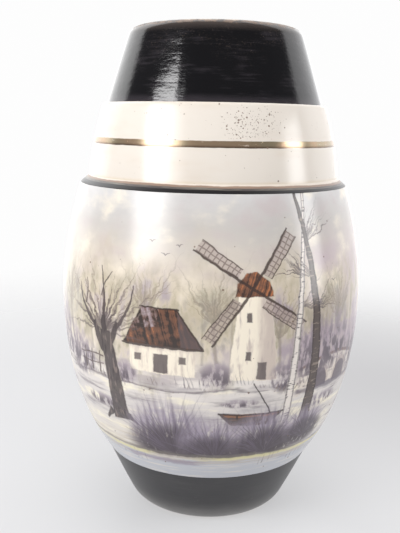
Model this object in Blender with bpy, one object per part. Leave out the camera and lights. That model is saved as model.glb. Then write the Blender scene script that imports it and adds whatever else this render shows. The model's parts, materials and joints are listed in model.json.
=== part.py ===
"""An ovoid ceramic vase, cast and fired in one piece.

From the table up it has a dark foot, an egg-shaped painted belly, a narrow sloping ledge, a pale
shoulder band, and a dark neck that tapers to a rounded lip. It is hollow and open at the top.

Metres, +Z up. The origin is the middle of the ring that the vase stands on.
"""

import math

import bmesh
import bpy

# Heights above the table
HEIGHT = 0.250
FOOT_TOP = 0.0321
BELLY_MIDDLE = 0.1183
LEDGE_BOTTOM = 0.1728
LEDGE_RISE = 0.0037
BAND_TOP = 0.2125

# Outer radii
FOOT_RADIUS = 0.0399
BELLY_RADIUS = 0.0786
LEDGE_WIDTH = 0.0044
BAND_TOP_RADIUS = 0.0572
NECK_STEP = 0.0022
NECK_TOP_RADIUS = 0.0431

# The belly is two halves of a superellipse: above its middle it is the slimmer, straighter one
UPPER_LENGTH = 0.1549
UPPER_FULLNESS = 1.60
LOWER_LENGTH = 0.1150
LOWER_FULLNESS = 2.18

# The straight runs swell a little between their ends
FOOT_SWELL = 0.0002
BAND_SWELL = 0.0009
NECK_SWELL = 0.0001

# The fired clay
WALL = 0.0060
FLOOR = 0.0075
FOOT_RECESS = 0.0030
FOOT_RING_WIDTH = 0.0155
GLAZE_EDGE = 0.0008

# Rounded corners
FOOT_EDGE_ROUND = 0.0120
RING_INNER_ROUND = 0.0010
LEDGE_OUTER_ROUND = 0.0018
LEDGE_INNER_ROUND = 0.0010
BAND_TOP_ROUND = 0.0014
LIP_OUTER_ROUND = 0.0068
LIP_INNER_ROUND = 0.0009
INSIDE_FLOOR_ROUND = 0.0090
INSIDE_SOFTENING = 0.0070

# Fineness of the turned surface
SEGMENTS = 64
FOOT_STEPS = 3
LOWER_STEPS = 7
UPPER_STEPS = 4
BAND_STEPS = 3
NECK_STEPS = 2
INSIDE_STEPS = 13
CORNER_STEPS = 2
EDGE_STEPS = 4
LIP_STEPS = 5
SAME_POINT = 5e-5
MERGE_DISTANCE = 1e-6


def belly_radius(height):
    """Outer radius of the belly at a height, from the half of the superellipse that it lies in."""
    above = height > BELLY_MIDDLE
    length = UPPER_LENGTH if above else LOWER_LENGTH
    fullness = UPPER_FULLNESS if above else LOWER_FULLNESS
    share = min(abs(height - BELLY_MIDDLE) / length, 1.0)
    return BELLY_RADIUS * (1.0 - share**fullness) ** (1.0 / fullness)


def swelling_run(low, high, swell, height):
    """Radius on a run from low to high, each (radius, height), that swells outward by swell midway."""
    share = (height - low[1]) / (high[1] - low[1])
    share = min(max(share, 0.0), 1.0)
    return low[0] + (high[0] - low[0]) * share + swell * 4.0 * share * (1.0 - share)


FOOT_LOW = (FOOT_RADIUS, 0.0)
FOOT_HIGH = (belly_radius(FOOT_TOP), FOOT_TOP)
LEDGE_LOW = (belly_radius(LEDGE_BOTTOM), LEDGE_BOTTOM)
LEDGE_HIGH = (LEDGE_LOW[0] - LEDGE_WIDTH, LEDGE_BOTTOM + LEDGE_RISE)
BAND_HIGH = (BAND_TOP_RADIUS, BAND_TOP)
NECK_LOW = (BAND_TOP_RADIUS - NECK_STEP, BAND_TOP)
NECK_HIGH = (NECK_TOP_RADIUS, HEIGHT)


def outer_radius(height):
    """Outer radius of the vase at any height, with its corners still sharp."""
    if height < FOOT_TOP:
        return swelling_run(FOOT_LOW, FOOT_HIGH, FOOT_SWELL, height)
    if height < LEDGE_LOW[1]:
        return belly_radius(height)
    if height < LEDGE_HIGH[1]:
        return swelling_run(LEDGE_LOW, LEDGE_HIGH, 0.0, height)
    if height < BAND_TOP:
        return swelling_run(LEDGE_HIGH, BAND_HIGH, BAND_SWELL, height)
    return swelling_run(NECK_LOW, NECK_HIGH, NECK_SWELL, height)


def inner_radius(height):
    """Radius of the cavity: the outside, softened as casting slip does, less the wall's thickness."""
    reach = INSIDE_SOFTENING
    nearby = [outer_radius(min(max(height + reach * k / 3, 0.0), HEIGHT)) for k in range(-3, 4)]
    slope = (nearby[-1] - nearby[0]) / (2.0 * reach)
    return sum(nearby) / len(nearby) - WALL * math.sqrt(1.0 + slope * slope)


LIP_INNER = (inner_radius(HEIGHT), HEIGHT)


def spaced(start, end, steps):
    """The values strictly between start and end that divide the run into equal steps."""
    return [start + (end - start) * k / steps for k in range(1, steps)]


def rounded_corner(before, corner, after, radius, steps, shares=(0.48, 0.48)):
    """Points of the arc that rounds a corner. It takes up at most these shares of its two runs."""
    to_before = (before[0] - corner[0], before[1] - corner[1])
    to_after = (after[0] - corner[0], after[1] - corner[1])
    length_before = math.hypot(*to_before)
    length_after = math.hypot(*to_after)
    one = (to_before[0] / length_before, to_before[1] / length_before)
    two = (to_after[0] / length_after, to_after[1] / length_after)
    half_angle = 0.5 * math.acos(one[0] * two[0] + one[1] * two[1])
    cut = min(radius / math.tan(half_angle), shares[0] * length_before, shares[1] * length_after)
    points = []
    for k in range(steps + 1):
        share = k / steps
        # A conic through the two tangent points, weighted so that it is the circle's arc
        weight = math.sin(half_angle)
        a = (1.0 - share) ** 2
        b = 2.0 * share * (1.0 - share) * weight
        c = share**2
        total = a + b + c
        radial = (a * one[0] + c * two[0]) * cut / total
        upward = (a * one[1] + c * two[1]) * cut / total
        points.append((corner[0] + radial, corner[1] + upward))
    return points


def run_points(low, high, swell, steps):
    """Inner points of a swelling run between its two ends."""
    return [(swelling_run(low, high, swell, z), z) for z in spaced(low[1], high[1], steps)]


def underside():
    """From the axis out under the foot: the glazed recess and the flat ring that stands on the table."""
    ring_inner = FOOT_RADIUS - FOOT_RING_WIDTH
    centre = (0.0, FOOT_RECESS)
    inner_top = (ring_inner, FOOT_RECESS)
    inner_low = (ring_inner, 0.0)
    outer = FOOT_LOW
    up_the_foot = (outer_radius(FOOT_TOP / FOOT_STEPS), FOOT_TOP / FOOT_STEPS)
    shares = (0.5, 0.9)
    points = [centre]
    points += rounded_corner(centre, inner_top, inner_low, RING_INNER_ROUND, CORNER_STEPS)
    points += rounded_corner(inner_top, inner_low, outer, RING_INNER_ROUND, CORNER_STEPS)
    points += rounded_corner(inner_low, outer, up_the_foot, FOOT_EDGE_ROUND, EDGE_STEPS, shares)
    return points


def outside():
    """From the foot's wall up over the belly, ledge, band and neck to the lip's crown."""
    ledge_foot = belly_radius(LEDGE_BOTTOM - LEDGE_RISE), LEDGE_BOTTOM - LEDGE_RISE
    band_points = run_points(LEDGE_HIGH, BAND_HIGH, BAND_SWELL, BAND_STEPS)
    neck_points = run_points(NECK_LOW, NECK_HIGH, NECK_SWELL, NECK_STEPS)
    points = run_points(FOOT_LOW, FOOT_HIGH, FOOT_SWELL, FOOT_STEPS)
    points.append(FOOT_HIGH)
    belly = spaced(FOOT_TOP, BELLY_MIDDLE, LOWER_STEPS) + [BELLY_MIDDLE]
    belly += spaced(BELLY_MIDDLE, ledge_foot[1], UPPER_STEPS)
    points += [(belly_radius(z), z) for z in belly]
    points += rounded_corner(ledge_foot, LEDGE_LOW, LEDGE_HIGH, LEDGE_OUTER_ROUND, CORNER_STEPS)
    points += rounded_corner(LEDGE_LOW, LEDGE_HIGH, band_points[0], LEDGE_INNER_ROUND, CORNER_STEPS)
    points += band_points
    points += rounded_corner(band_points[-1], BAND_HIGH, NECK_LOW, BAND_TOP_ROUND, CORNER_STEPS)
    points.append(NECK_LOW)
    points += neck_points
    points += rounded_corner(neck_points[-1], NECK_HIGH, LIP_INNER, LIP_OUTER_ROUND, LIP_STEPS, (0.48, 0.82))
    return points


def inside():
    """From the lip's crown down the cavity's wall and across its floor to the axis."""
    floor_height = FOOT_RECESS + FLOOR
    below_lip = HEIGHT - 2.5 * LIP_INNER_ROUND
    above_floor = floor_height + 2.0 * INSIDE_FLOOR_ROUND
    wall = [below_lip] + spaced(below_lip, above_floor, INSIDE_STEPS) + [above_floor]
    wall_points = [(inner_radius(z), z) for z in wall]
    floor_corner = (inner_radius(floor_height), floor_height)
    centre = (0.0, floor_height)
    crown = outside()[-1]
    points = rounded_corner(crown, LIP_INNER, wall_points[0], LIP_INNER_ROUND, CORNER_STEPS, (0.98, 0.9))
    points += wall_points
    points += rounded_corner(wall_points[-1], floor_corner, centre, INSIDE_FLOOR_ROUND, CORNER_STEPS)
    points.append(centre)
    return points


def without_repeats(points):
    """The profile with points dropped that lie on the one before."""
    kept = [points[0]]
    for point in points[1:]:
        if math.dist(point, kept[-1]) > SAME_POINT:
            kept.append(point)
    return kept


def glaze(name, colour, roughness):
    """A glazed or bare clay surface."""
    material = bpy.data.materials.new(name)
    material.use_nodes = True
    shader = material.node_tree.nodes["Principled BSDF"]
    shader.inputs["Base Color"].default_value = (*colour, 1.0)
    shader.inputs["Roughness"].default_value = roughness
    shader.inputs["Metallic"].default_value = 0.0
    material.diffuse_color = (*colour, 1.0)
    return material


GLAZES = {
    "belly_glaze": ((0.70, 0.66, 0.64), 0.22),
    "dark_glaze": ((0.012, 0.012, 0.014), 0.18),
    "ledge_line": ((0.055, 0.040, 0.030), 0.30),
    "band_glaze": ((0.80, 0.74, 0.65), 0.18),
    "cavity_glaze": ((0.74, 0.70, 0.62), 0.25),
    "bare_clay": ((0.62, 0.55, 0.46), 0.75),
}


def glaze_at(centre, normal):
    """Name of the glaze on a face, from where the face is and which way it points."""
    radius = math.hypot(centre.x, centre.y)
    height = centre.z
    if radius < outer_radius(height) - 0.5 * WALL:
        return "bare_clay" if height < FOOT_RECESS + 0.5 * FLOOR and normal.z < 0.0 else "cavity_glaze"
    if height < GLAZE_EDGE:
        return "bare_clay"
    if height < FOOT_TOP:
        return "dark_glaze"
    if height < LEDGE_LOW[1]:
        return "belly_glaze"
    if height < LEDGE_HIGH[1]:
        return "ledge_line"
    if height < BAND_TOP and radius > NECK_LOW[0]:
        return "band_glaze"
    return "dark_glaze"


def build_vase():
    """Turns the closed half profile about the axis and colours the surface by zone."""
    profile = without_repeats(underside() + outside() + inside())
    mesh = bpy.data.meshes.new("vase")
    shape = bmesh.new()
    corners = [shape.verts.new((radius, 0.0, height)) for radius, height in profile]
    runs = [shape.edges.new(pair) for pair in zip(corners, corners[1:])]
    bmesh.ops.spin(
        shape,
        geom=corners + runs,
        cent=(0.0, 0.0, 0.0),
        axis=(0.0, 0.0, 1.0),
        dvec=(0.0, 0.0, 0.0),
        angle=math.tau,
        steps=SEGMENTS,
        use_merge=True,
        use_duplicate=False,
    )
    bmesh.ops.remove_doubles(shape, verts=shape.verts, dist=MERGE_DISTANCE)
    bmesh.ops.recalc_face_normals(shape, faces=shape.faces)
    names = list(GLAZES)
    for face in shape.faces:
        face.material_index = names.index(glaze_at(face.calc_center_median(), face.normal))
    shape.to_mesh(mesh)
    shape.free()
    for name, (colour, roughness) in GLAZES.items():
        mesh.materials.append(glaze(name, colour, roughness))
    mesh.shade_smooth()
    mesh.set_sharp_from_angle(angle=math.radians(38))
    vase = bpy.data.objects.new("vase", mesh)
    bpy.context.scene.collection.objects.link(vase)
    return vase


def main():
    for old in list(bpy.data.objects):
        bpy.data.objects.remove(old, do_unlink=True)
    build_vase()


main()
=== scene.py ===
# %% [markdown]
# # A painted ceramic vase
# The real vase is one piece of earthenware: it was cast in a mould, glazed, painted by hand and fired.
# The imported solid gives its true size, but its faces are coarser and it has no finish. This lesson turns a
# finer copy of the same profile, paints it with procedural materials, and lights it as a small object on a
# white table.

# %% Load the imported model
import json
import math

import bpy
import numpy as np
from mathutils import Matrix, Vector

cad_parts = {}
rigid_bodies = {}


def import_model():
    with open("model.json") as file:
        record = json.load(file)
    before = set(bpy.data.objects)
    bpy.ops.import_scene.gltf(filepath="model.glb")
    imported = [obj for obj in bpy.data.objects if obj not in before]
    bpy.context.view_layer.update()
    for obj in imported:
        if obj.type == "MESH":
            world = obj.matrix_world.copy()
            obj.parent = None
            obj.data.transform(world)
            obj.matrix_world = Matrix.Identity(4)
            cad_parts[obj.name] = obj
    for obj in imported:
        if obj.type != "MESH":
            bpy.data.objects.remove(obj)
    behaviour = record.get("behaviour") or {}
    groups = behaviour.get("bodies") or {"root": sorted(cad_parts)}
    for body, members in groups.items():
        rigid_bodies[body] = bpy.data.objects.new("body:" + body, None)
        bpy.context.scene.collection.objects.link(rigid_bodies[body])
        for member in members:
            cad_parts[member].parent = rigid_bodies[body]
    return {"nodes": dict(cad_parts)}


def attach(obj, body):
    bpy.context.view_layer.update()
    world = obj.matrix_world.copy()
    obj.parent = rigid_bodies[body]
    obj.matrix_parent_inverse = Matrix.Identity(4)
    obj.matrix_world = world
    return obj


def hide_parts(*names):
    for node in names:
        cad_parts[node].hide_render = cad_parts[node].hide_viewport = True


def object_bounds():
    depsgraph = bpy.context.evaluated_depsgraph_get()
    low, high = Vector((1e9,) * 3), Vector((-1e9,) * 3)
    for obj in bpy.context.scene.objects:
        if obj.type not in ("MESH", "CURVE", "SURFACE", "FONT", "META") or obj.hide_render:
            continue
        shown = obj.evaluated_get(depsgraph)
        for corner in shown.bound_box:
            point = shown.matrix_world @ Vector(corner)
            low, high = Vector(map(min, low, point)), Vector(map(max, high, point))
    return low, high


for old in list(bpy.data.objects):
    bpy.data.objects.remove(old, do_unlink=True)
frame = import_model()
CAD_LOW, CAD_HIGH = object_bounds()
HEIGHT = CAD_HIGH.z
BELLY_RADIUS = CAD_HIGH.x
print("nodes", sorted(frame["nodes"]), "height", round(HEIGHT, 4), "belly radius", round(BELLY_RADIUS, 4))

# %% [markdown]
# ## The camera
# A hand-held camera stood about 0.4 m from the vase, a little higher than its shoulder, and looked slightly
# down. It was turned a touch to the left and tilted by one degree, so the vase leans in the picture. A camera
# could be placed by eye, but these values come from the outline: with them the outline of the solid falls on
# the outline in the photograph, and the mouth and the ledge open into the right ovals.

# %% Camera
FRAME_HEIGHT = 533
FOCAL_PIXELS = 743.2
SENSOR = 36.0
CAMERA_DISTANCE = 0.3940
CAMERA_HEIGHT = 0.2036
LOOKS_DOWN = math.radians(11.0)
TURNED_LEFT = math.radians(0.87)
TILTED = math.radians(1.0)


def make_camera():
    """The camera of the photograph. It looks along +Y."""
    data = bpy.data.cameras.new("camera")
    data.sensor_width = SENSOR
    data.lens = FOCAL_PIXELS / FRAME_HEIGHT * SENSOR
    data.clip_start = 0.01
    camera = bpy.data.objects.new("camera", data)
    bpy.context.scene.collection.objects.link(camera)
    turn = Matrix.Rotation(TURNED_LEFT, 4, "Z")
    look = Matrix.Rotation(math.radians(90.0) - LOOKS_DOWN, 4, "X")
    roll = Matrix.Rotation(TILTED, 4, "Z")
    place = Matrix.Translation((0.0, -CAMERA_DISTANCE, CAMERA_HEIGHT))
    camera.matrix_world = place @ turn @ look @ roll
    bpy.context.scene.camera = camera
    return camera


camera = make_camera()
print("lens", round(camera.data.lens, 2), "mm")

# %% [markdown]
# ## The profile
# A vase like this is round in every level cut: one half profile, spun about the axis, is the whole shape. The
# profile could be traced point by point, but then no size could be changed by itself. Here it is a list of
# runs. Each run is a formula, and each corner between two runs is rounded as glaze rounds it.

# %% Profile sizes, the same as the solid's
FOOT_TOP = 0.0321
BELLY_MIDDLE = 0.1183
LEDGE_BOTTOM = 0.1728
LEDGE_RISE = 0.0037
BAND_TOP = 0.2125
FOOT_RADIUS = 0.0399
LEDGE_WIDTH = 0.0044
BAND_TOP_RADIUS = 0.0572
NECK_STEP = 0.0022
NECK_TOP_RADIUS = 0.0431
UPPER_LENGTH, UPPER_FULLNESS = 0.1549, 1.60
LOWER_LENGTH, LOWER_FULLNESS = 0.1150, 2.18
FOOT_SWELL, BAND_SWELL, NECK_SWELL = 0.0002, 0.0009, 0.0001
WALL = 0.0060
FLOOR = 0.0075
FOOT_RECESS = 0.0030
FOOT_RING_WIDTH = 0.0155
INSIDE_SOFTENING = 0.0070


def belly_radius(height):
    """Outer radius of the belly: one half of a superellipse above its middle, another below."""
    above = height > BELLY_MIDDLE
    length = UPPER_LENGTH if above else LOWER_LENGTH
    fullness = UPPER_FULLNESS if above else LOWER_FULLNESS
    share = min(abs(height - BELLY_MIDDLE) / length, 1.0)
    return BELLY_RADIUS * (1.0 - share**fullness) ** (1.0 / fullness)


def swelling(low, high, swell, height):
    """Radius on a nearly straight run from low to high, each (radius, height)."""
    share = min(max((height - low[1]) / (high[1] - low[1]), 0.0), 1.0)
    return low[0] + (high[0] - low[0]) * share + swell * 4.0 * share * (1.0 - share)


FOOT_LOW = (FOOT_RADIUS, 0.0)
FOOT_HIGH = (belly_radius(FOOT_TOP), FOOT_TOP)
LEDGE_LOW = (belly_radius(LEDGE_BOTTOM), LEDGE_BOTTOM)
LEDGE_HIGH = (LEDGE_LOW[0] - LEDGE_WIDTH, LEDGE_BOTTOM + LEDGE_RISE)
BAND_HIGH = (BAND_TOP_RADIUS, BAND_TOP)
NECK_LOW = (BAND_TOP_RADIUS - NECK_STEP, BAND_TOP)
NECK_HIGH = (NECK_TOP_RADIUS, HEIGHT)


def outer_radius(height):
    """Outer radius at any height, with the corners still sharp."""
    if height < FOOT_TOP:
        return swelling(FOOT_LOW, FOOT_HIGH, FOOT_SWELL, height)
    if height < LEDGE_LOW[1]:
        return belly_radius(height)
    if height < LEDGE_HIGH[1]:
        return swelling(LEDGE_LOW, LEDGE_HIGH, 0.0, height)
    if height < BAND_TOP:
        return swelling(LEDGE_HIGH, BAND_HIGH, BAND_SWELL, height)
    return swelling(NECK_LOW, NECK_HIGH, NECK_SWELL, height)


def inner_radius(height):
    """Radius of the cavity: the outside softened, less the wall."""
    nearby = [outer_radius(min(max(height + INSIDE_SOFTENING * k / 3, 0.0), HEIGHT)) for k in range(-3, 4)]
    slope = (nearby[-1] - nearby[0]) / (2.0 * INSIDE_SOFTENING)
    return sum(nearby) / len(nearby) - WALL * math.sqrt(1.0 + slope * slope)


print("foot top radius", round(FOOT_HIGH[0], 4), "ledge", round(LEDGE_LOW[0], 4), round(LEDGE_HIGH[0], 4))

# %% [markdown]
# ## Rounded corners and zones
# Each run carries the name of the finish on it, because the potter changed glaze exactly at the corners.
# The names become the material slots later, so no face is painted by guesswork.

# %% Half profile
class Profile:
    """A half profile as a growing list of points, each with the finish of the run that starts there."""

    def __init__(self):
        self.points = []
        self.finishes = []

    def add(self, points, finish):
        """Adds points, leaving out one that lies on the last."""
        for point in points:
            if self.points and math.dist(point, self.points[-1]) < 2e-5:
                continue
            self.points.append(point)
            self.finishes.append(finish)


def spaced(start, end, steps):
    """The values strictly between start and end that divide the run into equal steps."""
    return [start + (end - start) * k / steps for k in range(1, steps)]


def straight(start, end, steps):
    """Points strictly between two points."""
    return list(zip(spaced(start[0], end[0], steps), spaced(start[1], end[1], steps)))


def rounded(before, corner, after, radius, steps, shares=(0.48, 0.48)):
    """The arc that rounds a corner, taking up at most these shares of its two runs."""
    runs = [(end[0] - corner[0], end[1] - corner[1]) for end in (before, after)]
    lengths = [math.hypot(*run) for run in runs]
    one, two = [(run[0] / length, run[1] / length) for run, length in zip(runs, lengths)]
    half_angle = 0.5 * math.acos(one[0] * two[0] + one[1] * two[1])
    cut = min(radius / math.tan(half_angle), shares[0] * lengths[0], shares[1] * lengths[1])
    points = []
    for k in range(steps + 1):
        share = k / steps
        a, b, c = (1.0 - share) ** 2, 2.0 * share * (1.0 - share) * math.sin(half_angle), share**2
        points.append(
            (
                corner[0] + (a * one[0] + c * two[0]) * cut / (a + b + c),
                corner[1] + (a * one[1] + c * two[1]) * cut / (a + b + c),
            )
        )
    return points


def run(low, high, swell, steps):
    """Inner points of a swelling run."""
    return [(swelling(low, high, swell, z), z) for z in spaced(low[1], high[1], steps)]


def half_profile():
    """From the axis under the foot, up the outside, over the lip and down the cavity to the axis again."""
    profile = Profile()
    ring_inner = FOOT_RADIUS - FOOT_RING_WIDTH
    recess, ring_top, ring_low = (0.0, FOOT_RECESS), (ring_inner, FOOT_RECESS), (ring_inner, 0.0)
    glaze_ends = 0.0008
    profile.add([recess] + straight(recess, ring_top, 12), "bare_clay")
    profile.add(rounded(recess, ring_top, ring_low, 0.0010, 4), "bare_clay")
    profile.add(rounded(ring_top, ring_low, FOOT_LOW, 0.0010, 4), "bare_clay")
    foot_wall = (outer_radius(FOOT_TOP / 3), FOOT_TOP / 3)
    edge = rounded(ring_low, FOOT_LOW, foot_wall, 0.0120, 14, (0.5, 0.9))
    profile.add(straight(profile.points[-1], edge[0], 5), "bare_clay")
    profile.add([point for point in edge if point[1] < glaze_ends], "bare_clay")
    profile.add([point for point in edge if point[1] >= glaze_ends], "foot_glaze")
    wall = run(FOOT_LOW, FOOT_HIGH, FOOT_SWELL, 24)
    profile.add([point for point in wall if point[1] > edge[-1][1] + 0.0004], "foot_glaze")
    profile.add([FOOT_HIGH], "belly_paint")
    below_ledge = LEDGE_BOTTOM - LEDGE_RISE
    lower = spaced(FOOT_TOP, BELLY_MIDDLE, 34) + [BELLY_MIDDLE]
    upper = spaced(BELLY_MIDDLE, below_ledge, 20) + [below_ledge]
    profile.add([(belly_radius(z), z) for z in lower + upper], "belly_paint")
    before = (belly_radius(below_ledge), below_ledge)
    band = run(LEDGE_HIGH, BAND_HIGH, BAND_SWELL, 14)
    edge = rounded(before, LEDGE_LOW, LEDGE_HIGH, 0.0018, 6)
    profile.add(edge[:3], "belly_paint")
    profile.add(edge[3:], "ledge_glaze")
    profile.add(straight(edge[-1], LEDGE_HIGH, 4)[:2], "ledge_glaze")
    edge = rounded(LEDGE_LOW, LEDGE_HIGH, band[0], 0.0010, 4)
    profile.add(edge[:3], "ledge_glaze")
    profile.add(edge[3:] + band, "band_glaze")
    profile.add(rounded(band[-1], BAND_HIGH, NECK_LOW, 0.0014, 6), "band_glaze")
    profile.add([NECK_LOW] + run(NECK_LOW, NECK_HIGH, NECK_SWELL, 15)[:-2], "neck_glaze")
    lip_inner = (inner_radius(HEIGHT), HEIGHT)
    half_way = 0.5 * (BAND_TOP + HEIGHT)
    middle = (swelling(NECK_LOW, NECK_HIGH, NECK_SWELL, half_way), half_way)
    lip = rounded(middle, NECK_HIGH, lip_inner, 0.0068, 14, (0.48, 0.82))
    profile.add([point for point in lip if point[1] > profile.points[-1][1] + 0.0003], "neck_glaze")
    below_lip, above_floor = HEIGHT - 0.00225, FOOT_RECESS + FLOOR + 0.018
    first = (inner_radius(below_lip), below_lip)
    profile.add(rounded(lip[-1], lip_inner, first, 0.0009, 5, (0.98, 0.9)), "neck_glaze")
    inside = [below_lip] + spaced(below_lip, above_floor, 44) + [above_floor]
    profile.add([(inner_radius(z), z) for z in inside], "inside_glaze")
    floor_height = FOOT_RECESS + FLOOR
    corner, centre = (inner_radius(floor_height), floor_height), (0.0, floor_height)
    edge = rounded((inner_radius(above_floor), above_floor), corner, centre, 0.0090, 8)
    profile.add(edge + straight(edge[-1], centre, 8) + [centre], "inside_glaze")
    return profile


profile = half_profile()
print(len(profile.points), "profile points")

# %% [markdown]
# ## Sums on sockets
# A shader or a geometry tree is easier to read as sums than as boxes and wires. A Wire holds one output
# socket. Adding, multiplying or comparing wires puts in the Math node, and any other node comes from `node`.

# %% Wires
class Wire:
    """One output socket of a node tree, used in sums as if it were a number."""

    def __init__(self, socket):
        self.socket = socket
        self.tree = socket.id_data

    def math(self, operation, *values):
        """A Math node on these numbers or wires."""
        return node(self.tree, "ShaderNodeMath", {"operation": operation}, dict(enumerate(values)))

    def other(self, name):
        """Another output of the same node."""
        return Wire(next(s for s in self.socket.node.outputs if s.name == name and s.enabled))

    def __add__(self, value):
        return self.math("ADD", self, value)

    def __radd__(self, value):
        return self.math("ADD", value, self)

    def __sub__(self, value):
        return self.math("SUBTRACT", self, value)

    def __rsub__(self, value):
        return self.math("SUBTRACT", value, self)

    def __mul__(self, value):
        return self.math("MULTIPLY", self, value)

    def __rmul__(self, value):
        return self.math("MULTIPLY", value, self)

    def __truediv__(self, value):
        return self.math("DIVIDE", self, value)

    def __pow__(self, value):
        return self.math("POWER", self, value)

    def __neg__(self):
        return self.math("MULTIPLY", self, -1.0)

    def __abs__(self):
        return self.math("ABSOLUTE", self)

    def __gt__(self, value):
        return self.math("GREATER_THAN", self, value)

    def __lt__(self, value):
        return self.math("LESS_THAN", self, value)


def node(tree, kind, settings=None, sockets=None, output=0):
    """Adds a node: its settings first, then a value or a wire for each socket named or numbered."""
    made = tree.nodes.new(kind)
    for name, value in (settings or {}).items():
        if name == "stops":
            set_stops(made.color_ramp, value)
        else:
            setattr(made, name, value)
    for name, value in (sockets or {}).items():
        if isinstance(name, int):
            socket = made.inputs[name]
        else:
            socket = next(s for s in made.inputs if s.name == name and s.enabled)
        if isinstance(value, Wire):
            tree.links.new(value.socket, socket)
        else:
            socket.default_value = value
    if not made.outputs:
        return made
    return Wire(made.outputs[output])


def set_stops(ramp, stops):
    """Sets a colour ramp's stops, each (place, colour)."""
    while len(ramp.elements) < len(stops):
        ramp.elements.new(0.5)
    for made, (place, colour) in zip(ramp.elements, stops):
        made.position = place
        made.color = colour


print("wires ready")

# %% [markdown]
# ## Turning the vase with Geometry Nodes
# A lathe shape follows a rule, so a tree makes it: a grid whose rows are the profile's points and whose
# columns are steps of the turn. Each grid point looks up its row in the profile and swings round the axis.
# Hand work is never perfectly round, so a slow noise takes up to a fifth of a millimetre off the radius.

# %% The turning tree
SEGMENTS = 240
HAND_WOBBLE = 0.0002
TREE_INPUTS = (
    ("Profile", "NodeSocketGeometry"),
    ("Segments", "NodeSocketInt"),
    ("Hand wobble", "NodeSocketFloat"),
    ("Seed", "NodeSocketFloat"),
)
FINISHES = list(dict.fromkeys(profile.finishes))
materials = {name: bpy.data.materials.new(name) for name in FINISHES}


def profile_object(points):
    """The half profile as a chain of edges in the XZ plane."""
    mesh = bpy.data.meshes.new("half_profile")
    mesh.from_pydata([(r, 0.0, z) for r, z in points], [(k, k + 1) for k in range(len(points) - 1)], [])
    made = bpy.data.objects.new("half_profile", mesh)
    bpy.context.scene.collection.objects.link(made)
    return made


def turning_tree():
    """Geometry Nodes that turn a profile, with its sizes as named inputs."""
    tree = bpy.data.node_groups.new("turned_vase", "GeometryNodeTree")
    for name, kind in TREE_INPUTS:
        tree.interface.new_socket(name, in_out="INPUT", socket_type=kind)
    tree.interface.new_socket("Vase", in_out="OUTPUT", socket_type="NodeSocketGeometry")
    given = node(tree, "NodeGroupInput")
    segments, wobble, seed = given.other("Segments"), given.other("Hand wobble"), given.other("Seed")
    points = node(tree, "GeometryNodeAttributeDomainSize", {"component": "MESH"}, {"Geometry": given})
    grid = node(tree, "GeometryNodeMeshGrid", {}, {"Vertices X": segments + 1.0, "Vertices Y": points})
    index = node(tree, "GeometryNodeInputIndex")
    column = index.math("FLOOR", (index + 0.5) / points)
    row = index - column * points
    place = node(tree, "GeometryNodeInputPosition")
    sampled = node(
        tree,
        "GeometryNodeSampleIndex",
        {"data_type": "FLOAT_VECTOR", "domain": "POINT"},
        {"Geometry": given, "Value": place, "Index": row},
    )
    on_profile = node(tree, "ShaderNodeSeparateXYZ", {}, {0: sampled})
    radius, height = on_profile, on_profile.other("Z")
    angle = column * math.tau / segments
    across, along = angle.math("SINE", angle), -angle.math("COSINE", angle)
    around = node(tree, "ShaderNodeCombineXYZ", {}, {0: across, 1: along, 2: height * 12.0})
    slow = {"Vector": around, "W": seed, "Scale": 0.9, "Detail": 1.0}
    noise = node(tree, "ShaderNodeTexNoise", {"noise_dimensions": "4D"}, slow)
    turned = radius - noise * wobble * (radius > 0.03)
    place = node(tree, "ShaderNodeCombineXYZ", {}, {0: turned * across, 1: turned * along, 2: height})
    shaped = node(tree, "GeometryNodeSetPosition", {}, {"Geometry": grid, "Position": place})
    kept = {"Geometry": shaped, "Name": "profile_row", "Value": row}
    named = node(tree, "GeometryNodeStoreNamedAttribute", {"data_type": "FLOAT", "domain": "POINT"}, kept)
    joined = node(tree, "GeometryNodeMergeByDistance", {}, {"Geometry": named, "Distance": 1e-6})
    smooth = node(tree, "GeometryNodeSetShadeSmooth", {}, {"Geometry": joined})
    vase = node(tree, "GeometryNodeRealizeInstances", {}, {"Geometry": smooth})
    on_row = node(tree, "GeometryNodeInputNamedAttribute", {"data_type": "FLOAT"}, {"Name": "profile_row"})
    for finish in FINISHES:
        rows = [k for k, name in enumerate(profile.finishes) if name == finish]
        chosen = (on_row > rows[0] - 0.01) * (on_row < rows[-1] + 0.99)
        sockets = {"Geometry": vase, "Selection": chosen, "Material": materials[finish]}
        vase = node(tree, "GeometryNodeSetMaterial", {}, sockets)
    node(tree, "NodeGroupOutput", {}, {"Vase": vase})
    return tree


def turned_mesh(tree):
    """Runs the tree on the profile and keeps the result as a plain mesh."""
    maker = profile_object(profile.points)
    modifier = maker.modifiers.new("turned_vase", "NODES")
    modifier.node_group = tree
    values = {"Segments": SEGMENTS, "Hand wobble": HAND_WOBBLE, "Seed": 3.0}
    for item in tree.interface.items_tree:
        if item.in_out == "INPUT" and item.name in values:
            modifier[item.identifier] = values[item.name]
    made = bpy.data.meshes.new_from_object(maker.evaluated_get(bpy.context.evaluated_depsgraph_get()))
    made.name = "vase_body"
    worn = [made.materials[face.material_index] for face in made.polygons]
    made.materials.clear()
    for material in materials.values():
        made.materials.append(material)
    slots = {material.name: k for k, material in enumerate(made.materials)}
    made.polygons.foreach_set("material_index", [slots[material.name] for material in worn])
    maker.modifiers.remove(modifier)
    bpy.data.objects.remove(maker, do_unlink=True)
    return made


mesh = turned_mesh(turning_tree())
mesh.calc_loop_triangles()
print(len(mesh.vertices), "vertices", len(mesh.loop_triangles), "triangles")
print("materials", [material.name for material in mesh.materials])

# %% [markdown]
# ## The finished mesh
# The crease where the belly meets the foot, and the step below the neck, are crisp, so those edges stay
# sharp. The texture map cuts the surface into strips, and the painted front of the belly gets the largest.

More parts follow.
